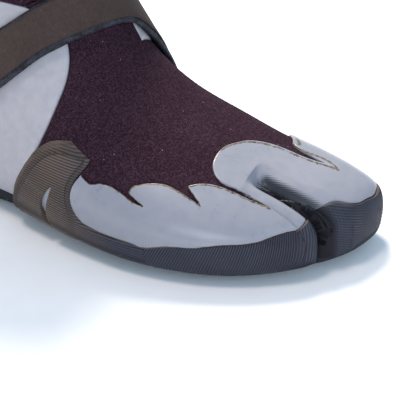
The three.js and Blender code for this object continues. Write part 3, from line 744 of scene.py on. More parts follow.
# ---------------------------------------------------------------------------
# Foam sock, heel and shaft panels: plum knit foam round the heel and up to the cuff.
# ---------------------------------------------------------------------------
SHAFT_END = 16  # the shaft's last section
UNDER_BINDING = 200  # over this height its face lies flat under the binding tape
rear_line = QUARTER_REAR[(QUARTER_REAR[:, 0] < 66.2) & (QUARTER_REAR[:, 1] < 110.2)]  # below its corner
heel = cut_skin(
    "heel_foam", (9.6, 13.8), (50, 310), (150, 170),
    side_zone([[66, 110]], rear_line, [[44, 11.2], [-40, 11.2], [-40, 121]]),
    pillow, even(-FOAM), EDGE_ROWS, materials=[plum_knit])
shaft = cut_skin(
    "shaft_foam", (9.4, SHAFT_END), ALL_ROUND, (150, 190),
    side_zone(SHAFT_SEAM, [[330, 210], [-40, 210]]),
    lambda p, d: np.where(p[:, 2] > UNDER_BINDING, -0.05, pillow(p, d)), even(-FOAM),
    EDGE_ROWS, materials=[plum_knit])
for panel, replaced in ((heel, "heel_panel"), (shaft, "shaft_panel")):
    settle(panel)
    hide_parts(replaced)
    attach(panel, "boot")

# ---------------------------------------------------------------------------
# Lining and insole: brushed black towelling laminated inside the foam, and a loose
# towelling footbed that lies on the sole.
# ---------------------------------------------------------------------------
towelling, tree, shader, where = finish_material(
    "brushed_towelling", 0.98, Sheen_Weight=0.5, Sheen_Roughness=0.7, Specular_IOR_Level=0.15)
pile = place(tree, knit, where, Scale=620.0)
shade = place(tree, mottle, where, Broad=30.0, Fine=300.0,
              Colour_A=(0.016, 0.014, 0.017), Colour_B=(0.034, 0.03, 0.036))
tufts = ramp(tree, pile["Value"], [(0.25, 0.6), (0.75, 1.7)])
colour = blend_colour(tree, 1.0, shade["Colour"], tufts, "MULTIPLY")
feed(tree, shader, colour, height=pile["Height"], strength=0.9, distance=0.0008)

LINING_OUT, LINING_IN, LINING_TOP = -3.3, -4.1, 209.8
lining = cut_skin(
    "towelling_lining", (0, SHAFT_END), ALL_ROUND, (110, 110), lambda p: LINING_TOP - p[:, 2],
    even(LINING_OUT), even(LINING_IN),
    materials=[towelling], along_surface=False)
settle(lining)
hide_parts("lining")
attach(lining, "boot")


def ring_faces(rings, count, closed=False, first=0):
    """Quads between neighbouring rings of points; closed joins the last ring to the first."""
    faces = []
    for i in range(rings if closed else rings - 1):
        n = (i + 1) % rings
        for j in range(count):
            k = (j + 1) % count
            faces.append([first + q for q in (i * count + j, i * count + k, n * count + k, n * count + j)])
    return faces


def last_body(offset, rows, columns, top):
    """The last moved out by an offset, closed at the toe tip and at the top section."""
    t = np.linspace(0, top, rows)
    angle = np.linspace(0, 2 * math.pi, columns, endpoint=False)
    t, angle = np.meshgrid(t, angle, indexing="ij")
    grid = on_last(t, angle) + last_normal(t, angle) * offset
    points = np.vstack([grid.reshape(-1, 3), grid[0].mean(0)[None] + [0.3, 0, 0]])
    faces = ring_faces(rows, columns)
    faces += [[len(points) - 1, (j + 1) % columns, j] for j in range(columns)]
    faces.append([(rows - 1) * columns + j for j in range(columns)])
    return mesh_object("last_body", to_frame(points), faces)


def block_tool(x0, x1, y0, y1, z0, z1):
    """A block between two corners, in the last's millimetres."""
    bpy.ops.object.select_all(action="DESELECT")
    low, top = to_frame([x0, y0, z0]), to_frame([x1, y1, z1])
    bpy.ops.mesh.primitive_cube_add(size=1)
    made = bpy.context.active_object
    made.data.transform(Matrix.Translation((low + top) / 2) @ Matrix.Diagonal((*(top - low), 1)))
    return made


def carve(piece, tool, operation="DIFFERENCE"):
    """A block cuts a piece and is then taken away."""
    bpy.ops.object.select_all(action="DESELECT")
    piece.select_set(True)
    bpy.context.view_layer.objects.active = piece
    cut = piece.modifiers.new("cut", "BOOLEAN")
    cut.solver = "MANIFOLD"
    cut.operation = operation
    cut.object = tool
    bpy.ops.object.modifier_apply(modifier="cut")
    bpy.data.objects.remove(tool)


INSOLE_IN, INSOLE_TOP = -4.5, 13
insole = last_body(INSOLE_IN, rows=120, columns=110, top=13.0)
carve(insole, block_tool(-60, 340, -120, 120, 0, INSOLE_TOP), "INTERSECT")
insole.name = "towelling_insole"
insole.data.materials.append(towelling)
settle(insole)
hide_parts("insole")
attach(insole, "boot")

# ---------------------------------------------------------------------------
# Toe film: a thin smooth grey abrasion film glued over the toes. Its rear edge is
# cut in scallops; a little old glue shows along the cut and in the notches.
# ---------------------------------------------------------------------------
CLEAR = 0.3  # film and rubber stand this much off the foam, in their glue
FILM = 1.2
# The pattern lines of the outer side, on the plane that faces it.
RAND_EDGE = smooth_line([
    [147, -54], [158, -53], [171, -53.5], [184, -52.5], [197, -52], [203, -51], [209, -49],
    [216, -47], [222.5, -45.5], [226.5, -42], [230, -37], [236, -34], [242, -33], [248, -34],
    [253, -33.7], [258, -31.6], [263.5, -30], [330, -29.5]])
WING_EDGE = smooth_line([
    [116, -18], [111.5, -23.5], [110, -29.5], [112, -36], [116, -41], [123, -45], [132, -48.5], [142, -52]])
FILM_EDGE = smooth_line([
    [117, -18.5], [121, -22], [126.5, -22], [132.5, -24], [137.5, -27.5], [142, -31], [147, -33.3],
    [143, -29.6], [140.4, -27], [141.4, -24.3], [146.3, -22.9], [152, -22.5], [159, -23.5],
    [164.7, -26.5], [171, -30.7], [175, -33.5], [170.6, -27], [168.6, -24.1], [173, -23.2],
    [179, -23.3], [185, -24.8], [191, -27.3], [197, -30.2], [203.5, -33], [209, -35.3],
    [201, -30.5], [191.7, -25.8], [185, -22.5], [182.4, -19.4], [181, -14], [183, -9], [187, -5],
    [192.6, -3], [199.6, -1.8], [206, -2.4], [213, -4.2], [220, -7], [226.4, -10], [233, -12.5],
    [239.5, -14.6], [245, -16.8], [243, -14], [237, -10.3], [230, -7.4], [225.4, -5], [221.7, -1.2],
    [220, 1.5], [222, 30]], step=0.6)
# The pattern lines seen from the side: the film's edge on the big toe, and the outer wing.
FILM_INNER = smooth_line([
    [243.5, 49], [243.5, 47.4], [238, 46.4], [232, 43.5], [227, 38], [224, 32], [223.5, 25.5],
    [250, 26.5], [270, 28.5], [286, 30.5], [330, 32.5]], step=0.8)
OVER_TOE = 19.0  # from here on the patterns are those of the inner side
WING_OUTLINE = np.vstack([[[106, -40]], smooth_line([
    [108, 8], [113, 22], [120, 35], [126, 44], [132.5, 51], [139, 55.5], [146, 57.5], [154, 58],
    [163.5, 56], [162, 51], [159.5, 47.5], [155.5, 41], [154.3, 34], [156.5, 27.5], [158, 25]], corner=60),
    [[158, -40]]])


def across_toe(outer_value, inner_value, p):
    """A value that changes from the outer side's to the inner side's over the big toe."""
    f = np.clip((p[:, 1] - OVER_TOE) / 6, 0, 1)
    return outer_value * (1 - f) + inner_value * f


film_outline = np.vstack([FILM_EDGE, [[330, 30]], RAND_EDGE[::-1] + [0, 0.45], WING_EDGE[::-1] + [0.6, 0.3]])
film_inner_outline = np.vstack([FILM_INNER, [[330, 80], [243.5, 80]]])


def film_zone(p):
    """The film ends at its scallops, under the rand's and the wing's edges, and over the sole."""
    outer = within(film_outline, from_outer(p))
    inner = within(film_inner_outline, from_side(p))
    value = across_toe(outer, inner, p)
    wing = within(WING_OUTLINE, from_side(p))
    value = np.where(p[:, 1] < 0, np.minimum(value, -wing - 0.25), value)
    floor = p[:, 2] - np.interp(p[:, 0], [100, 230, 260, 330], [14, 14, 19, 26])
    return np.minimum(value, floor)


def threads(tree, where, scale, distortion, direction, **values):
    """Parallel bands, like threads that lie side by side."""
    inputs = [("Vector", where), ("Scale", scale), ("Distortion", distortion)]
    inputs += [(label.replace("_", " "), value) for label, value in values.items()]
    return node(tree, "TexWave", inputs, bands_direction=direction).outputs["Fac"]


toe_film_skin, tree, shader, where = finish_material("grey_toe_film", 0.36, Specular_IOR_Level=0.5)
cloudy = place(tree, mottle, where, Broad=32.0, Fine=190.0,
               Colour_A=(0.232, 0.235, 0.272), Colour_B=(0.262, 0.26, 0.292))
edge = kept_number(tree, "from_edge")
crumbs = noise(tree, where, 420.0, 3.0)
reach = calculate(tree, "MULTIPLY", crumbs, 1.5)
glue_mask = calculate(tree, "LESS_THAN", edge, calculate(tree, "SUBTRACT", reach, 0.33))
glue_colour = ramp(tree, noise(tree, where, 900.0, 2.0), [
    (0.38, (0.035, 0.026, 0.02)), (0.62, (0.2, 0.15, 0.1))])
gap_shade_depth = kept_number(tree, "painted_gap_shade")
glue_mask = calculate(tree, "MULTIPLY", glue_mask, calculate(tree, "LESS_THAN", gap_shade_depth, 0.05))
colour = blend_colour(tree, glue_mask, cloudy["Colour"], glue_colour)
# Into the gap between the toes the film darkens to near black: painted shade, broken into fine hatch lines
# like the moulded ridges there.
hatch = threads(tree, where, 400.0, 0.5, "Z", Detail=0.0)
hatch_and_shade_mask = ramp(tree, calculate(tree, "MULTIPLY_ADD", hatch, 0.22, gap_shade_depth), [(0.38, 0.0), (0.8, 1.0)])
colour = blend_colour(tree, hatch_and_shade_mask, colour, (0.016, 0.017, 0.024))
film_grain = place(tree, grain, where, Scale=1400.0, Depth=1.0)
feed(tree, shader, colour, ramp(tree, cloudy["Value"], [(0.0, 0.27), (1.0, 0.31)]), film_grain["Height"],
     strength=0.14, distance=0.0003)

film = cut_skin(
    "toe_film_skin", (0, 9.4), (-125, 150), (330, 300), film_zone,
    lambda p, d: pillow(p, d, CLEAR + FILM, 0.9, 0.6), even(CLEAR),
    [0.2, 0.45, 0.9], materials=[toe_film_skin])
# Glue shows along the two cut edges only, each on its own side of the big toe's middle and
# without the end of its line that runs on past the film.
p = last_points(film)
MIDDLE_OF_TOE, FAR_OFF = 24, 50
from_outer_cut = gap_to_line(from_outer(p), FILM_EDGE[:-6]) + FAR_OFF * (p[:, 1] > MIDDLE_OF_TOE)
from_inner_cut = gap_to_line(from_side(p), FILM_INNER[:-60]) + FAR_OFF * (p[:, 1] < MIDDLE_OF_TOE)
mark(film, "from_edge", np.minimum(from_outer_cut, from_inner_cut))
mark(film, "painted_gap_shade", gap_shade(p))
settle(film)
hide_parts("toe_film")
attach(film, "boot")

# ---------------------------------------------------------------------------
# Rubber: moulded in thin ribbed pieces that wrap up from the tread: a rand round the
# outer toes, a bumper round the big toe, a wing each side of the arch, a heel counter.
# ---------------------------------------------------------------------------
RUBBER = 2.1
RUBBER_TOP = CLEAR + RUBBER
RIB_PITCH, RIB_HEIGHT = 1.35, 0.34
TOE_CUT = 0.62  # half the cut that parts the rubber of the two toes
FLANGE, FIELD_RISE = 3.0, 1.3  # a plain margin, and a field that stands over it by so many rib heights
# Two edges seen from the side: the tread's upper edge, and the rubber's upper edge on the inner side.
TREAD_EDGE = smooth_line([
    [-40, 6], [40, 6], [110, 4.5], [230, 4], [252, 4.5], [268, 6.5], [280, 9.5], [330, 15]])
INNER_EDGE = smooth_line([
    [60, 10], [100, 10], [108, 14], [118, 24], [130, 32], [145, 36], [160, 34], [175, 29],
    [190, 25.5], [205, 24], [225, 25], [250, 26], [270, 28], [286, 30], [330, 32]])
WING_FRONT_X, JOINT = 197.3, 0.06

ribbed_rubber, tree, shader, where = finish_material("ribbed_rubber", 0.62, Specular_IOR_Level=0.22)
waves = []
for count in ("1", "2"):
    turns, strength = (kept_number(tree, label + count) for label in ("rib_turns_", "rib_strength_"))
    wave = calculate(tree, "COSINE", calculate(tree, "MULTIPLY", turns, 2 * math.pi))
    waves.append(calculate(tree, "MULTIPLY", calculate(tree, "MULTIPLY_ADD", wave, 0.5, 0.5), strength))
rib = calculate(tree, "MAXIMUM", *waves)
body = place(tree, mottle, where, Broad=26.0, Fine=260.0,
             Colour_A=(0.008, 0.008, 0.012), Colour_B=(0.015, 0.015, 0.022))
worn = noise(tree, where, 75.0, 3.0)
# The rib tops are painted lighter and bluer than the grooves, unevenly in patches: painted light on the tops,
# painted shade in the grooves.
painted_rib_light = calculate(tree, "MULTIPLY", rib, ramp(tree, worn, [(0.35, 0.6), (0.7, 1.0)]))
colour = blend_colour(tree, painted_rib_light, body["Colour"], (0.058, 0.06, 0.085))
# Behind the toes, dust and sand have turned the rubber a warm brown; there too the rib tops are painted
# lighter than the grooves, as painted light and shade.
along_boot = node(tree, "SeparateXYZ", [("Vector", where)]).outputs[0]
sandy_part = ramp(tree, calculate(tree, "MULTIPLY_ADD", along_boot, -9.0, 0.55),
                  [(0.2, 0.0), (0.6, 1.0), (0.85, 0.8), (1.0, 0.2)])
sandy_part = calculate(tree, "MULTIPLY", sandy_part, 0.75)
sandy_colour_with_rib_light = blend_colour(tree, rib, (0.036, 0.024, 0.018), (0.185, 0.13, 0.094))
colour = blend_colour(tree, sandy_part, colour, sandy_colour_with_rib_light)
lint = place(tree, specks, where, Scale=240.0, Size=0.075)
colour = blend_colour(tree, calculate(tree, "MULTIPLY", lint["Mask"], 0.5), colour, (0.32, 0.29, 0.27))
edge = kept_number(tree, "from_edge")
frayed = calculate(tree, "MULTIPLY", ramp(tree, edge, [(0.1, 1.0), (0.5, 0.0)]),
                   ramp(tree, worn, [(0.4, 0.15), (0.6, 0.75)]))
colour = blend_colour(tree, frayed, colour, (0.12, 0.085, 0.068))
# Down in the gap between the toes the rubber is darkened to near black: painted shade.
gap_shade_amount = kept_number(tree, "painted_gap_shade")
colour = blend_colour(tree, ramp(tree, gap_shade_amount, [(0.3, 0.0), (0.8, 1.0)]), colour, (0.008, 0.008, 0.011))
rubber_grain = place(tree, grain, where, Scale=1900.0, Depth=0.5)
feed(tree, shader, colour, ramp(tree, worn, [(0.3, 0.5), (0.7, 0.72)]),
     calculate(tree, "ADD", rib, rubber_grain["Height"]), strength=0.6, distance=0.0003)


def rib_wave(q, pitch=1):
    """Height of the ribs, 0 in the groove to 1 on top, where q runs across them."""
    return (0.5 + 0.5 * np.cos(2 * math.pi * q / pitch)) ** 0.7


def rib_pattern(turns, strength=1.0, step=0.0, turns_2=0.0, strength_2=0.0):
    """A rib pattern: a raised step, and up to two sets of ribs as turns (pitches run) and strength."""
    return np.broadcast_arrays(turns, strength, step, turns_2, strength_2)


def rib_relief(pattern):
    """The height of a rib pattern, in rib heights."""
    turns, strength, step, turns_2, strength_2 = pattern
    return step + np.maximum(rib_wave(turns) * strength, rib_wave(turns_2) * strength_2)


def over_tread(p):
    """How far a point lies over the tread's edge."""
    return p[:, 2] - np.interp(p[:, 0], *TREAD_EDGE.T) - CLEAR


def rubber_piece(name, node_name, span, turn_span, count, zone, ribs, free_edge=None):
    """One moulded piece: ribs(points, inset) is its rib pattern, and free_edge(points) the distance
    from the edge that is rounded, where that isn't all of its outline."""
    free_edge = free_edge or zone

    def face(p, d):
        edge = d if free_edge is zone else free_edge(p)
        return RUBBER_TOP - RIB_HEIGHT + rounded(edge) + RIB_HEIGHT * rib_relief(ribs(p, d))

    piece = cut_skin(name, span, turn_span, count, zone, face, even(CLEAR), (0.2, 0.45, 0.9),
                     TREAD_LAST, LAST, [ribbed_rubber])
    p = last_points(piece)
    turns, strength, _, turns_2, strength_2 = ribs(p, zone(p))
    mark(piece, "rib_turns_1", turns)
    mark(piece, "rib_strength_1", strength)
    mark(piece, "rib_turns_2", turns_2)
    mark(piece, "rib_strength_2", strength_2)
    mark(piece, "from_edge", free_edge(p))
    mark(piece, "painted_gap_shade", gap_shade(p))
    settle(piece, 50)
    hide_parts(node_name)
    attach(piece, "boot")


# The rand follows the little toes round, from the wing to the gap.
LITTLE_TOES_X, TOE_ROUND = 225, 46
rand_outline = np.vstack([RAND_EDGE, [[330, -200], [100, -200], [100, -54]]])


def rand_free_edge(p):
    return within(rand_outline, from_outer(p))


def rand_zone(p):
    return np.minimum.reduce([
        rand_free_edge(p), p[:, 0] - WING_FRONT_X - JOINT, GAP_Y - TOE_CUT - p[:, 1], over_tread(p)])


def rand_ribs(p, d):
    """Slanting ribs along the side, which turn upright round the toes."""
    round_toe = np.arctan2(p[:, 0] - LITTLE_TOES_X, -p[:, 1] - 5) * TOE_ROUND
    along = np.where(p[:, 0] < LITTLE_TOES_X, p[:, 0] - LITTLE_TOES_X, round_toe)
    slant = p[:, 2] * np.interp(p[:, 0], [200, 250, 265], [0.55, 0.3, 0.1])
    return rib_pattern((along * 0.9 - slant) / RIB_PITCH, np.clip((GAP_Y - 3 - p[:, 1]) / 3, 0, 1))


rubber_piece("outer_toe_rand", "lateral_toe_rand", (1.6, 7.2), (-150, -35), (430, 300), rand_zone, rand_ribs,
             rand_free_edge)

# The bumper: ribs in rings from the toe tip, crossed near the gap by a second set.
BUMPER_REAR, BUMPER_PITCH = 205.45, 1.3
TOE_TIP = [284, 32, 26]


def under_inner_edge(p):
    return np.interp(p[:, 0], *INNER_EDGE.T) - p[:, 2]


def bumper_free_edge(p):
    return across_toe(rand_free_edge(p), under_inner_edge(p), p)


def bumper_zone(p):
    return np.minimum.reduce([
        bumper_free_edge(p), p[:, 0] - BUMPER_REAR, p[:, 1] - GAP_Y - TOE_CUT, over_tread(p)])


def bumper_ribs(p, d):
    rings = np.linalg.norm((p - TOE_TIP) * [1, 1, 0.8], axis=1)
    climb = p[:, 2] * 0.9 + p[:, 1] * 0.35
    clear_of_gap = np.clip((p[:, 1] - GAP_Y - 3) / 3, 0, 1)
    net = np.clip((14 - p[:, 1]) / 10, 0, 1)
    return rib_pattern(rings / BUMPER_PITCH, clear_of_gap * (1 - 0.4 * net), 0,
                       climb / BUMPER_PITCH, clear_of_gap * net * 0.9)


rubber_piece("big_toe_bumper", "big_toe_rand", (0, 6.6), ALL_ROUND, (230, 360), bumper_zone, bumper_ribs,
             bumper_free_edge)


INNER_WING_REAR, INNER_WING_FRONT = 104, 205


def inner_wing_zone(p):
    return np.minimum.reduce([under_inner_edge(p), p[:, 0] - INNER_WING_REAR, INNER_WING_FRONT - p[:, 0],
                              p[:, 1], over_tread(p)])


def field_ribs(p, inset):
    """Ribs on a field that stands a little over a plain flange."""
    step = np.clip((inset - FLANGE) / 0.6, 0, 1)
    return rib_pattern((p[:, 2] + 0.04 * p[:, 0]) / RIB_PITCH, 0.55 + 0.45 * step, FIELD_RISE * step)


rubber_piece("inner_arch_wing", "medial_wing", (6.0, 9.6), (60, 170), (300, 150), inner_wing_zone,
             lambda p, d: field_ribs(p, under_inner_edge(p)))

# The outer wing: a crest over the arch with a crescent slit through it, and a foot that
# runs forward along the sole to the rand.
WING_FOOT_X, GROOVE_AT = 150, 3.2
WING_SLIT = smooth_line([
    [142.5, 36.5], [139.5, 31.5], [137, 26], [136, 20.5], [136.6, 15], [138.2, 10.5], [140.6, 7]], step=0.5)
SLIT_HALF = 1.85
slit_disks = [(point, SLIT_HALF * math.sin(math.pi * min(max(f, 0.02), 0.98)) ** 0.8)
              for point, f in zip(WING_SLIT, np.linspace(0, 1, len(WING_SLIT)))]
wing_foot_outline = np.vstack([WING_EDGE[WING_EDGE[:, 1] < -36], RAND_EDGE[RAND_EDGE[:, 0] < 190],
                               [[190, -200], [95, -200], [95, -36]]])
wing_crest_line = WING_OUTLINE[WING_OUTLINE[:, 1] > 7]


def wing_crest(p):
    """How far a point lies inside the crest's edge."""
    flat = from_side(p)
    return gap_to_line(flat, wing_crest_line) * np.where(inside_outline(flat, WING_OUTLINE), 1, -1)


def wing_free_edge(p):
    """How far a point lies inside the wing's upper edge and outside its slit."""
    flat = from_side(p)
    crest = within(WING_OUTLINE, flat)
    foot = np.minimum(within(wing_foot_outline, from_outer(p)), p[:, 0] - WING_FOOT_X)
    slit = np.min([np.hypot(*(flat - point).T) - size for point, size in slit_disks], axis=0)
    return np.minimum(np.maximum(crest, foot), slit)


def wing_zone(p):
    return np.minimum.reduce([wing_free_edge(p), WING_FRONT_X - p[:, 0], -p[:, 1], over_tread(p)])


def wing_ribs(p, d):
    """Ribs with a raised field on the crest, a groove round the field, and plain ribs on the foot."""
    inside = np.where(p[:, 0] > WING_FOOT_X + 10, 9.0, wing_crest(p))
    foot = np.clip((p[:, 0] - WING_FOOT_X) / 8, 0, 1) * np.clip((30 - p[:, 2]) / 4, 0, 1)
    step = np.clip((inside - FLANGE) / 0.6, 0, 1) * (1 - foot)
    groove = np.clip(np.abs(inside - GROOVE_AT) / 0.5, 0, 1)
    strength = np.maximum(groove * (0.6 + 0.4 * step), foot)
    return rib_pattern((p[:, 2] + 0.05 * p[:, 0]) / RIB_PITCH, strength, FIELD_RISE * step)


rubber_piece("outer_arch_wing", "lateral_wing", (6.2, 9.7), (-165, -62), (400, 230), wing_zone, wing_ribs,
             wing_free_edge)

# A strip of the grey film lies under the wing and shows through its slit.
UNDERLAY_HALF = 2.6
underlay = cut_skin(
    "film_under_wing", (7.2, 9.4), (-150, -70), (60, 60),
    lambda p: UNDERLAY_HALF - gap_to_line(from_side(p), WING_SLIT),
    even(1.5), even(0.02), materials=[toe_film_skin])
mark(underlay, "from_edge", np.full(len(underlay.data.vertices), 9.0))
settle(underlay)
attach(underlay, "boot")

# The heel counter: a low cup round the heel.
COUNTER_OUTLINE = np.vstack([[[-60, -40], [50, -40]], smooth_line(
    [[50, 6], [47, 18], [40, 32], [30, 43], [18, 50], [-60, 53]], corner=80)])
rubber_piece("heel_counter_cup", "heel_counter", (10.0, 12.5), (70, 290), (220, 260),
             lambda p: np.minimum(within(COUNTER_OUTLINE, from_side(p)), over_tread(p)),
             lambda p, d: field_ribs(p, within(COUNTER_OUTLINE, from_side(p))))

# ---------------------------------------------------------------------------
# Tread: one thin rubber sole under the foam, with wavy cuts across it for grip.
# ---------------------------------------------------------------------------
tread_rubber, tree, shader, where = finish_material("tread_rubber", 0.75, Specular_IOR_Level=0.35)
body = place(tree, mottle, where, Broad=40.0, Fine=350.0,
             Colour_A=(0.012, 0.013, 0.018), Colour_B=(0.022, 0.023, 0.030))
sand = place(tree, specks, where, Scale=420.0, Size=0.16)
colour = blend_colour(tree, calculate(tree, "MULTIPLY", sand["Mask"], 0.5), body["Colour"], (0.2, 0.17, 0.14))
tread_grain = place(tree, grain, where, Scale=1500.0, Depth=1.0)
feed(tree, shader, colour, ramp(tree, body["Value"], [(0.0, 0.66), (1.0, 0.85)]), tread_grain["Height"],
     strength=0.35, distance=0.0004)


TREAD_CUT = 0.6  # half the cut that parts the tread of the two toes
CUT_PITCH, CUT_HALF, CUT_DEPTH, WAVE_HEIGHT = 8.0, 1.35, 3.9, 2.6
WAIST_X, PLAIN_RIM = 105, 9  # the tread is left plain under the arch and along its edge


def tread_cuts(p, d):
    """The tread's face, with wavy cuts across it."""
    under = np.clip((2.0 - p[:, 2]) / 1.5, 0, 1)
    wave = np.abs((p[:, 0] + WAVE_HEIGHT * np.sin(p[:, 1] / 4.2)) % CUT_PITCH - CUT_PITCH / 2)
    cut = np.clip((CUT_HALF - wave) / 0.5, 0, 1) * np.clip((d - PLAIN_RIM) / 2, 0, 1)
    waist = np.clip(np.abs(p[:, 0] - WAIST_X) / 6 - 3.0, 0, 1)
    return RUBBER_TOP + rounded(d, 0.7, 0.5) - CUT_DEPTH * cut * under * waist


tread = cut_skin(
    "tread_sole", (0, 12.2), ALL_ROUND, (330, 170),
    lambda p: np.interp(p[:, 0], *TREAD_EDGE.T) - p[:, 2] + 3 * np.clip((4 - p[:, 2]) / 4, 0, 1),
    tread_cuts, even(CLEAR), [0.3, 0.7], TREAD_LAST, LAST, [tread_rubber], along_surface=False)
# The sole stands flat: nothing hangs below the ground.
co = np.empty(len(tread.data.vertices) * 3)
tread.data.vertices.foreach_get("co", co)
co[2::3] = np.maximum(co[2::3], 0)
tread.data.vertices.foreach_set("co", co)
carve(tread, block_tool(GAP_REAR, 330, GAP_Y - TREAD_CUT, GAP_Y + TREAD_CUT, -5, 60))
settle(tread)
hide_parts("outsole")
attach(tread, "boot")

# ---------------------------------------------------------------------------
# Instep strap: a woven face on black foam with a raw edge, sewn down at the arch. It
# crosses the instep, and its tip closes with hook and loop over the outer side of the
# heel.
# ---------------------------------------------------------------------------
# Front and rear edge as section and degrees from the ridge, from the arch to the heel.
STRAP_PATH = np.array([
    [7.5, 76, 8.85, 76], [7.62, 64, 9.0, 62], [7.8, 46, 9.35, 46], [8.0, 31, 9.68, 31],
    [8.3, 17, 9.95, 17], [8.72, 3, 10.15, 3], [9.0, -8, 10.3, -8], [9.22, -19, 10.47, -19],
    [9.48, -31, 10.7, -31], [9.72, -42, 10.95, -42], [9.93, -52, 11.08, -51], [10.08, -62, 11.2, -61],
    [10.22, -72, 11.35, -72], [10.38, -84, 11.5, -84], [10.58, -97, 11.62, -97], [10.8, -110, 11.75, -111],
])
ROOT_END, FOLD_AT, SPLIT_AT, TIP_AT, STRAP_END = 1.1, 5.4, 11.3, 12.0, 15.0
BACKING_LOW, BACKING_HIGH, FACE_HIGH = 1.3, 4.15, 5.45
FACE_LOW = BACKING_HIGH - 0.15  # the face is laminated a little into the foam
STRAP_HALF = 0.019  # metres; 1 across the strap is this far from its middle

weave, given, out = effect("cross_weave", ["Scale"], outputs=[("Height", "Float")])
warp, weft = (threads(weave, given["Vector"], given["Scale"], 0.5, direction, Detail_Scale=2.0)
              for direction in "XY")
weave.links.new(calculate(weave, "MAXIMUM", warp, weft), out["Height"])

strap_face_cloth, tree, shader, where = finish_material("woven_strap_face", 0.75, Specular_IOR_Level=0.2)
run = node(tree, "UVMap", uv_map="strap").outputs[0]
yarns = place(tree, weave, run, Scale=330.0)
cloth = place(tree, mottle, where, Broad=38.0, Fine=620.0,
              Colour_A=(0.036, 0.022, 0.0185), Colour_B=(0.058, 0.038, 0.033))
yarn_light = ramp(tree, yarns["Height"], [(0.3, 0.55), (0.9, 1.35)])
colour = blend_colour(tree, 0.7, cloth["Colour"], yarn_light, "MULTIPLY")
fluff = place(tree, specks, where, Scale=420.0, Size=0.1)
colour = blend_colour(tree, calculate(tree, "MULTIPLY", fluff["Mask"], 0.25), colour, (0.3, 0.26, 0.25))
feed(tree, shader, colour, ramp(tree, cloth["Value"], [(0.0, 0.6), (1.0, 0.8)]), yarns["Height"],
     strength=0.45, distance=0.0003)

raw_foam, tree, shader, where = finish_material("raw_black_foam", 0.7, Specular_IOR_Level=0.3)
scuffs = place(tree, mottle, where, Broad=160.0, Fine=900.0,
               Colour_A=(0.004, 0.004, 0.006), Colour_B=(0.036, 0.038, 0.055))
pores = cells(tree, where, 1500.0)["Distance"]
feed(tree, shader, scuffs["Colour"], ramp(tree, scuffs["Value"], [(0.0, 0.8), (1.0, 0.5)]), pores,
     strength=0.6, distance=0.0004)


def strap_point(s, across, lift):
    """Points of the strap: s along it, across from -1 at the front edge to 1 at the rear edge."""
    row = along_last(STRAP_PATH, s)
    f = (across + 1) / 2
    t = row[..., 0] + (row[..., 2] - row[..., 0]) * f
    angle = np.radians(row[..., 1] + (row[..., 3] - row[..., 1]) * f)
    return on_last(t, angle) + last_normal(t, angle) * lift[..., None]


def strap_body(name, s0, s1, low, high, half, material, bow=0.0, shift=0.0, corner=0.8, step=0.05,
               ends=(True, True)):
    """A band of the strap between two heights, with rounded edges and, where wanted, rounded ends.
    Its UV map, in metres, runs along it."""
    s = np.arange(0, 1 + 1e-9, 1 / max(2, round((s1 - s0) / step))) * (s1 - s0) + s0
    a = np.linspace(-1, 1, 25)
    low, high, half = (measure(s)[:, None] for measure in (low, high, half))
    edge = np.clip((1 - np.abs(a)) * 19 * half / corner, 0, 1)
    round_off = 1 - np.sqrt(1 - (1 - edge) ** 2)
    ends_in = np.ones(len(s))
    for end, wanted in zip((0, -1), ends):
        if wanted:
            near_end = np.clip(np.abs(s - s[end]) * 9.5 / corner, 0, 1)
            ends_in = ends_in * np.sqrt(1 - (1 - near_end) ** 2)
    half_thick = (high - low) / 2 * np.maximum((1 - round_off) * ends_in[:, None], 0.06)
    middle = (low + high) / 2
    across = (a[None] + shift) * half
    along = np.broadcast_to(s[:, None], across.shape)
    top = strap_point(along, across, middle + half_thick + bow * (1 - a[None] ** 2))
    under = strap_point(along, across, middle - half_thick)
    n, m = across.shape
    points = np.vstack([top.reshape(-1, 3), under.reshape(-1, 3)])
    faces = []
    for i in range(n - 1):
        for j in range(m - 1):
            k = i * m + j
            faces.append([k, k + 1, k + m + 1, k + m])
            faces.append([k + n * m, k + m + n * m, k + m + 1 + n * m, k + 1 + n * m])
    sides = [(i * m + j, (i + 1) * m + j, j == 0) for i in range(n - 1) for j in (0, m - 1)]
    sides += [(i * m + j, i * m + j + 1, i != 0) for j in range(m - 1) for i in (0, n - 1)]
    for k, q, forward in sides:
        faces.append([k, q, q + n * m, k + n * m] if forward else [q, k, k + n * m, q + n * m])
    made = mesh_object(name, to_frame(points), faces, [material])
    steps = np.linalg.norm(np.diff(top[:, m // 2], axis=0), axis=1)
    lengths = np.concatenate([[0], np.cumsum(steps)]) / 1000
    uv = np.stack([np.repeat(lengths, m), np.tile(a * STRAP_HALF, n)], -1)
    uv = np.vstack([uv, uv])
    layer = made.data.uv_layers.new(name="strap")
    corners = np.empty(len(made.data.loops), int)
    made.data.loops.foreach_get("vertex_index", corners)
    layer.data.foreach_set("uv", uv[corners].ravel().astype(np.float32))
    return settle(made, 60)


def lifted_root(s):
    """The strap's underside comes down to the boot where it is sewn on."""
    return CLEAR + 0.1 + (BACKING_LOW - CLEAR - 0.1) * np.clip(s / ROOT_END, 0, 1)


def tip_half(s):
    """The tip narrows at its end."""
    return np.where(s < 14, 1, 1 - 0.45 * np.clip(s - 14, 0, 1) ** 2)


def tip_low(s):
    """The tip's underside steps up over the hook pad."""
    return BACKING_LOW + (2.8 - BACKING_LOW) * np.clip((s - TIP_AT + 0.2) / 0.5, 0, 1)


def tip_backing_high(s):
    """The tip's foam rises a little over the hook pad."""
    return BACKING_HIGH + (4.3 - BACKING_HIGH) * np.clip((s - TIP_AT) / 0.5, 0, 1)


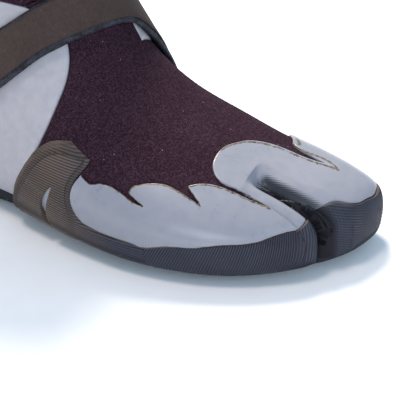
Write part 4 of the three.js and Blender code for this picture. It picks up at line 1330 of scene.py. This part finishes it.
face_cut = dict(bow=0.25, shift=0.09, corner=0.7)  # bowed, and set back so that the foam shows in front
strap_backing = strap_body("strap_foam", 0.0, SPLIT_AT, lifted_root, even(BACKING_HIGH), even(1),
                           raw_foam, corner=0.9, ends=(True, False))
strap_face = strap_body("strap_woven_face", 0.0, SPLIT_AT, even(FACE_LOW), even(FACE_HIGH), even(0.84),
                        strap_face_cloth, ends=(True, False), **face_cut)
tip_backing = strap_body("strap_tip_foam", SPLIT_AT, STRAP_END, tip_low, tip_backing_high, tip_half,
                         raw_foam, corner=0.9, ends=(False, True))
tip_face = strap_body("strap_tip_woven_face", SPLIT_AT, STRAP_END - 0.06, even(FACE_LOW), even(FACE_HIGH),
                      lambda s: 0.84 * tip_half(s), strap_face_cloth, ends=(False, True), **face_cut)


for piece, nodes, slot_name in (
    (strap_backing, ["strap_root", "strap_inner_backing", "strap_flap_backing"], "black_foam"),
    (strap_face, ["strap_inner_face", "strap_flap_face"], "strap_weave"),
):
    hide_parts(*nodes)
    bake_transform(piece)
for piece, nodes, slot_name in ((tip_backing, ["strap_tip"], "black_foam"), (tip_face, [], "strap_weave")):
    if nodes:
        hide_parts(*nodes)
    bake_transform(piece)

# Hook and loop: a loop patch glued to the heel foam and a hook pad under the tip.
hook_cloth, tree, shader, where = finish_material(
    "hook_and_loop", 0.95, Sheen_Weight=0.4, Specular_IOR_Level=0.2)
loops_pattern = place(tree, knit, where, Scale=900.0)
shade = place(tree, mottle, where, Broad=60.0, Fine=500.0,
              Colour_A=(0.010, 0.010, 0.012), Colour_B=(0.026, 0.026, 0.030))
feed(tree, shader, shade["Colour"], height=loops_pattern["Height"], strength=0.9, distance=0.0006)
loop_patch = strap_body("loop_patch_felt", TIP_AT - 0.8, 14.6, even(0.3), even(1.2), even(0.92), hook_cloth,
                        corner=0.5)
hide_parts("loop_patch")
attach(loop_patch, "boot")
hook_pad = strap_body("hook_pad_felt", TIP_AT + 0.4, 14.3, even(1.5), even(2.5), even(0.85), hook_cloth,
                      corner=0.4)
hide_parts("hook_pad")
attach(hook_pad, "strap_tip_body")

# Moulded rubber grip at the very tip, with cross ribs.
grip = strap_body("strap_tip_grip_pad", 14.15, 14.8, even(5.75), lambda s: 6.6 + 0.5 * rib_wave(s, 0.13),
                  even(0.55), ribbed_rubber, corner=0.6, step=0.012)
mark(grip, "from_edge", np.full(len(grip.data.vertices), 2.0))
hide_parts("strap_tip_grip")
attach(grip, "strap_tip_body")

# ---------------------------------------------------------------------------
# Sewing: a bar tack near each edge of the strap's root, sewn through it into the foam
# under it. Each stitch is a short raised length of grey thread.
# ---------------------------------------------------------------------------
sewing_thread, tree, shader, where = finish_material("sewing_thread", 0.65, Sheen_Weight=0.3)
ply = threads(tree, where, 900.0, 1.0, "DIAGONAL")
feed(tree, shader, ramp(tree, ply, [(0.2, (0.10, 0.095, 0.11)), (0.8, (0.27, 0.26, 0.30))]), height=ply,
     strength=0.5, distance=0.0002)


def stitch_row(name, starts, ends, normals, radius):
    """Thread stitches from starts to ends, in the last's millimetres, each a low rounded bar."""
    points, faces = [], []
    profile = ((0, 0.25), (0.15, 0.85), (0.5, 1.0), (0.85, 0.85), (1, 0.25))
    sides = 6
    for start, end, normal in zip(starts, ends, normals):
        direction = end - start
        length = np.linalg.norm(direction)
        direction /= length
        across = np.cross(direction, normal)
        base, last_ring = len(points), len(points) + sides * (len(profile) - 1)
        for f, r in profile:
            centre = start + direction * length * f
            for k in range(sides):
                c, s = math.cos(k * math.pi / 3), math.sin(k * math.pi / 3)
                points.append(centre + (across * c + normal * s) * radius * r)
        faces += ring_faces(len(profile), sides, first=base)
        faces.append([base + k for k in reversed(range(sides))])
        faces.append([last_ring + k for k in range(sides)])
    return settle(mesh_object(name, to_frame(points), faces, [sewing_thread]), 60)


ON_FACE, ZIGZAG = 5.75, 0.055
for edge_name, across in (("front", -0.62), ("rear", 0.62)):
    s = np.linspace(0.12, 0.75, 22)
    wave = np.where(np.arange(len(s)) % 2 == 0, -ZIGZAG, ZIGZAG)
    start = strap_point(s, across + wave, np.full(len(s), ON_FACE))
    end = strap_point(s + 0.025, across - wave, np.full(len(s), ON_FACE))
    up = strap_point(s, across + wave, np.full(len(s), ON_FACE + 1)) - start
    tack = stitch_row("bar_tack_" + edge_name, start, end, up, radius=0.3)
    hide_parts("strap_tack_" + edge_name)
    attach(tack, "boot")

# ---------------------------------------------------------------------------
# Cuff: a woven tape folded over the cut edge of the foam and sewn through, a strip of
# tape over the seam at the heel, and a webbing pull loop.
# ---------------------------------------------------------------------------
tape, tree, shader, where = finish_material("binding_tape", 0.8, Sheen_Weight=0.25, Specular_IOR_Level=0.3)
tape_weave = threads(tree, where, 420.0, 0.8, "Z", Detail_Scale=3.0)
tape_cross = threads(tree, where, 300.0, 0.8, "DIAGONAL", Detail_Scale=3.0)
tape_height = calculate(tree, "MAXIMUM", tape_weave, tape_cross)
shade = place(tree, mottle, where, Broad=50.0, Fine=500.0,
              Colour_A=(0.013, 0.012, 0.015), Colour_B=(0.030, 0.028, 0.034))
tape_light = ramp(tree, tape_height, [(0.3, 0.6), (0.9, 1.4)])
colour = blend_colour(tree, 1.0, shade["Colour"], tape_light, "MULTIPLY")
feed(tree, shader, colour, height=tape_height, strength=0.5, distance=0.0003)

ROUND_CUFF = 180  # points, and as many stitches
angles = np.linspace(0, 2 * math.pi, ROUND_CUFF, endpoint=False)
sections = np.linspace(13, 16, 61)
grid_z = on_last(*np.meshgrid(sections, angles, indexing="ij"))[..., 2]


def at_height(z, offset):
    """A ring of points round the cuff at a height, moved out by an offset."""
    t = np.array([np.interp(z, grid_z[:, j], sections) for j in range(ROUND_CUFF)])
    normal = last_normal(t, angles)
    normal[:, 2] = 0
    outward = normal / np.linalg.norm(normal, axis=1, keepdims=True)
    return on_last(t, angles) * [1, 1, 0] + [0, 0, z] + outward * offset


# The tape's section as offset and height: up the outside, over the edge, down the inside and back
# along the foam.
fold = [(0.35, 197.0), (0.8, 196.8), (1.25, 197.2), (1.3, 198.2), (1.22, 201), (1.3, 205), (1.28, 208.6)]
fold += [(-1.95 + 3.2 * math.cos(a), 208.6 + 2.7 * math.sin(a)) for a in np.linspace(0.25, math.pi - 0.25, 9)]
fold += [(-5.25, 208.4), (-5.3, 205), (-5.25, 199), (-5.1, 197.2), (-4.7, 197.0), (-4.45, 197.6), (-4.4, 205),
         (-4.35, 210.3), (-2.0, 210.35), (0.3, 210.3), (0.35, 204)]
points = np.vstack([at_height(z, offset) for offset, z in fold])
faces = ring_faces(len(fold), ROUND_CUFF, closed=True)
binding = settle(mesh_object("cuff_binding_tape", to_frame(points), faces, [tape]), 60)
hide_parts("cuff_binding")
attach(binding, "boot")

STITCH_Z, STITCH_OUT, STITCH_SHARE = 199.6, 1.34, 0.68
ring = at_height(STITCH_Z, STITCH_OUT)
step_on = np.roll(ring, -1, 0) - ring
outward = np.cross(step_on, [0, 0, 1.0])
outward /= np.linalg.norm(outward, axis=1, keepdims=True)
outward *= np.sign((outward * (ring - ring.mean(0))).sum(1))[:, None]
cuff_stitches = stitch_row("cuff_stitches", ring, ring + step_on * STITCH_SHARE, outward, radius=0.2)
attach(cuff_stitches, "boot")

# The strip over the heel seam, and above it the patch that holds the pull loop.
for name, node_name, span, turn_span, count, half, low, high, thick in (
    ("heel_seam_tape", "back_seam_tape", (12.0, 15.4), (160, 200), (200, 34), 6, 56, 184.5, 1.0),
    ("pull_tab_base", "pull_tab_patch", (14.6, 15.9), (140, 220), (70, 60), 12, 185, 196, 1.3),
):
    strip = cut_skin(
        name, span, turn_span, count,
        lambda p: np.minimum.reduce([half - np.abs(p[:, 1]), p[:, 2] - low, high - p[:, 2], 60 - p[:, 0]]),
        lambda p, d: pillow(p, d, thick, 0.6, 0.4), even(0.3), [0.3, 0.6], materials=[tape])
    settle(strip)
    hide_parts(node_name)
    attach(strip, "boot")

# The pull loop: a band of webbing bent to a loop, its outline given as shares of the room it fills.
tab_low, tab_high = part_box("pull_tab_loop")
TAB_THICK = 0.0017
tab_size = [(tab_high.x - tab_low.x) * 1000, (tab_high.z - tab_low.z) * 1000]
loop_shares = np.array([
    [1.0, 1.0], [0.72, 0.995], [0.38, 0.95], [0.1, 0.78], [0.0, 0.52], [0.03, 0.28], [0.2, 0.07], [0.5, 0.0],
    [0.8, 0.02], [0.97, 0.12], [1.0, 0.4], [1.0, 0.75], [1.0, 1.0]])
outline = smooth_line(loop_shares * tab_size, step=0.8, corner=60)[:-1] / 1000
outline += [tab_low.x, tab_low.z]
inward = np.roll(outline, -1, 0) - np.roll(outline, 1, 0)
inward /= np.linalg.norm(inward, axis=1, keepdims=True)
inward = np.stack([-inward[:, 1], inward[:, 0]], -1)
if ((outline.mean(0) - outline) * inward).sum() < 0:
    inward = -inward
half_width = (tab_high.y - tab_low.y) / 2
mid_y = (tab_high.y + tab_low.y) / 2
section = [(-0.96, 0.05), (-1, 0.3), (-1, 0.7), (-0.96, 0.95), (-0.5, 1), (0.5, 1),
           (0.96, 0.95), (1, 0.7), (1, 0.3), (0.96, 0.05), (0.5, 0), (-0.5, 0)]
points = [(x + nx * TAB_THICK * depth, mid_y + half_width * across, z + nz * TAB_THICK * depth)
          for (x, z), (nx, nz) in zip(outline, inward) for across, depth in section]
faces = ring_faces(len(outline), len(section), closed=True)
pull_loop = settle(mesh_object("webbing_pull_loop", points, faces, [tape]), 50)
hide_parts("pull_tab_loop")
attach(pull_loop, "pull_tab")
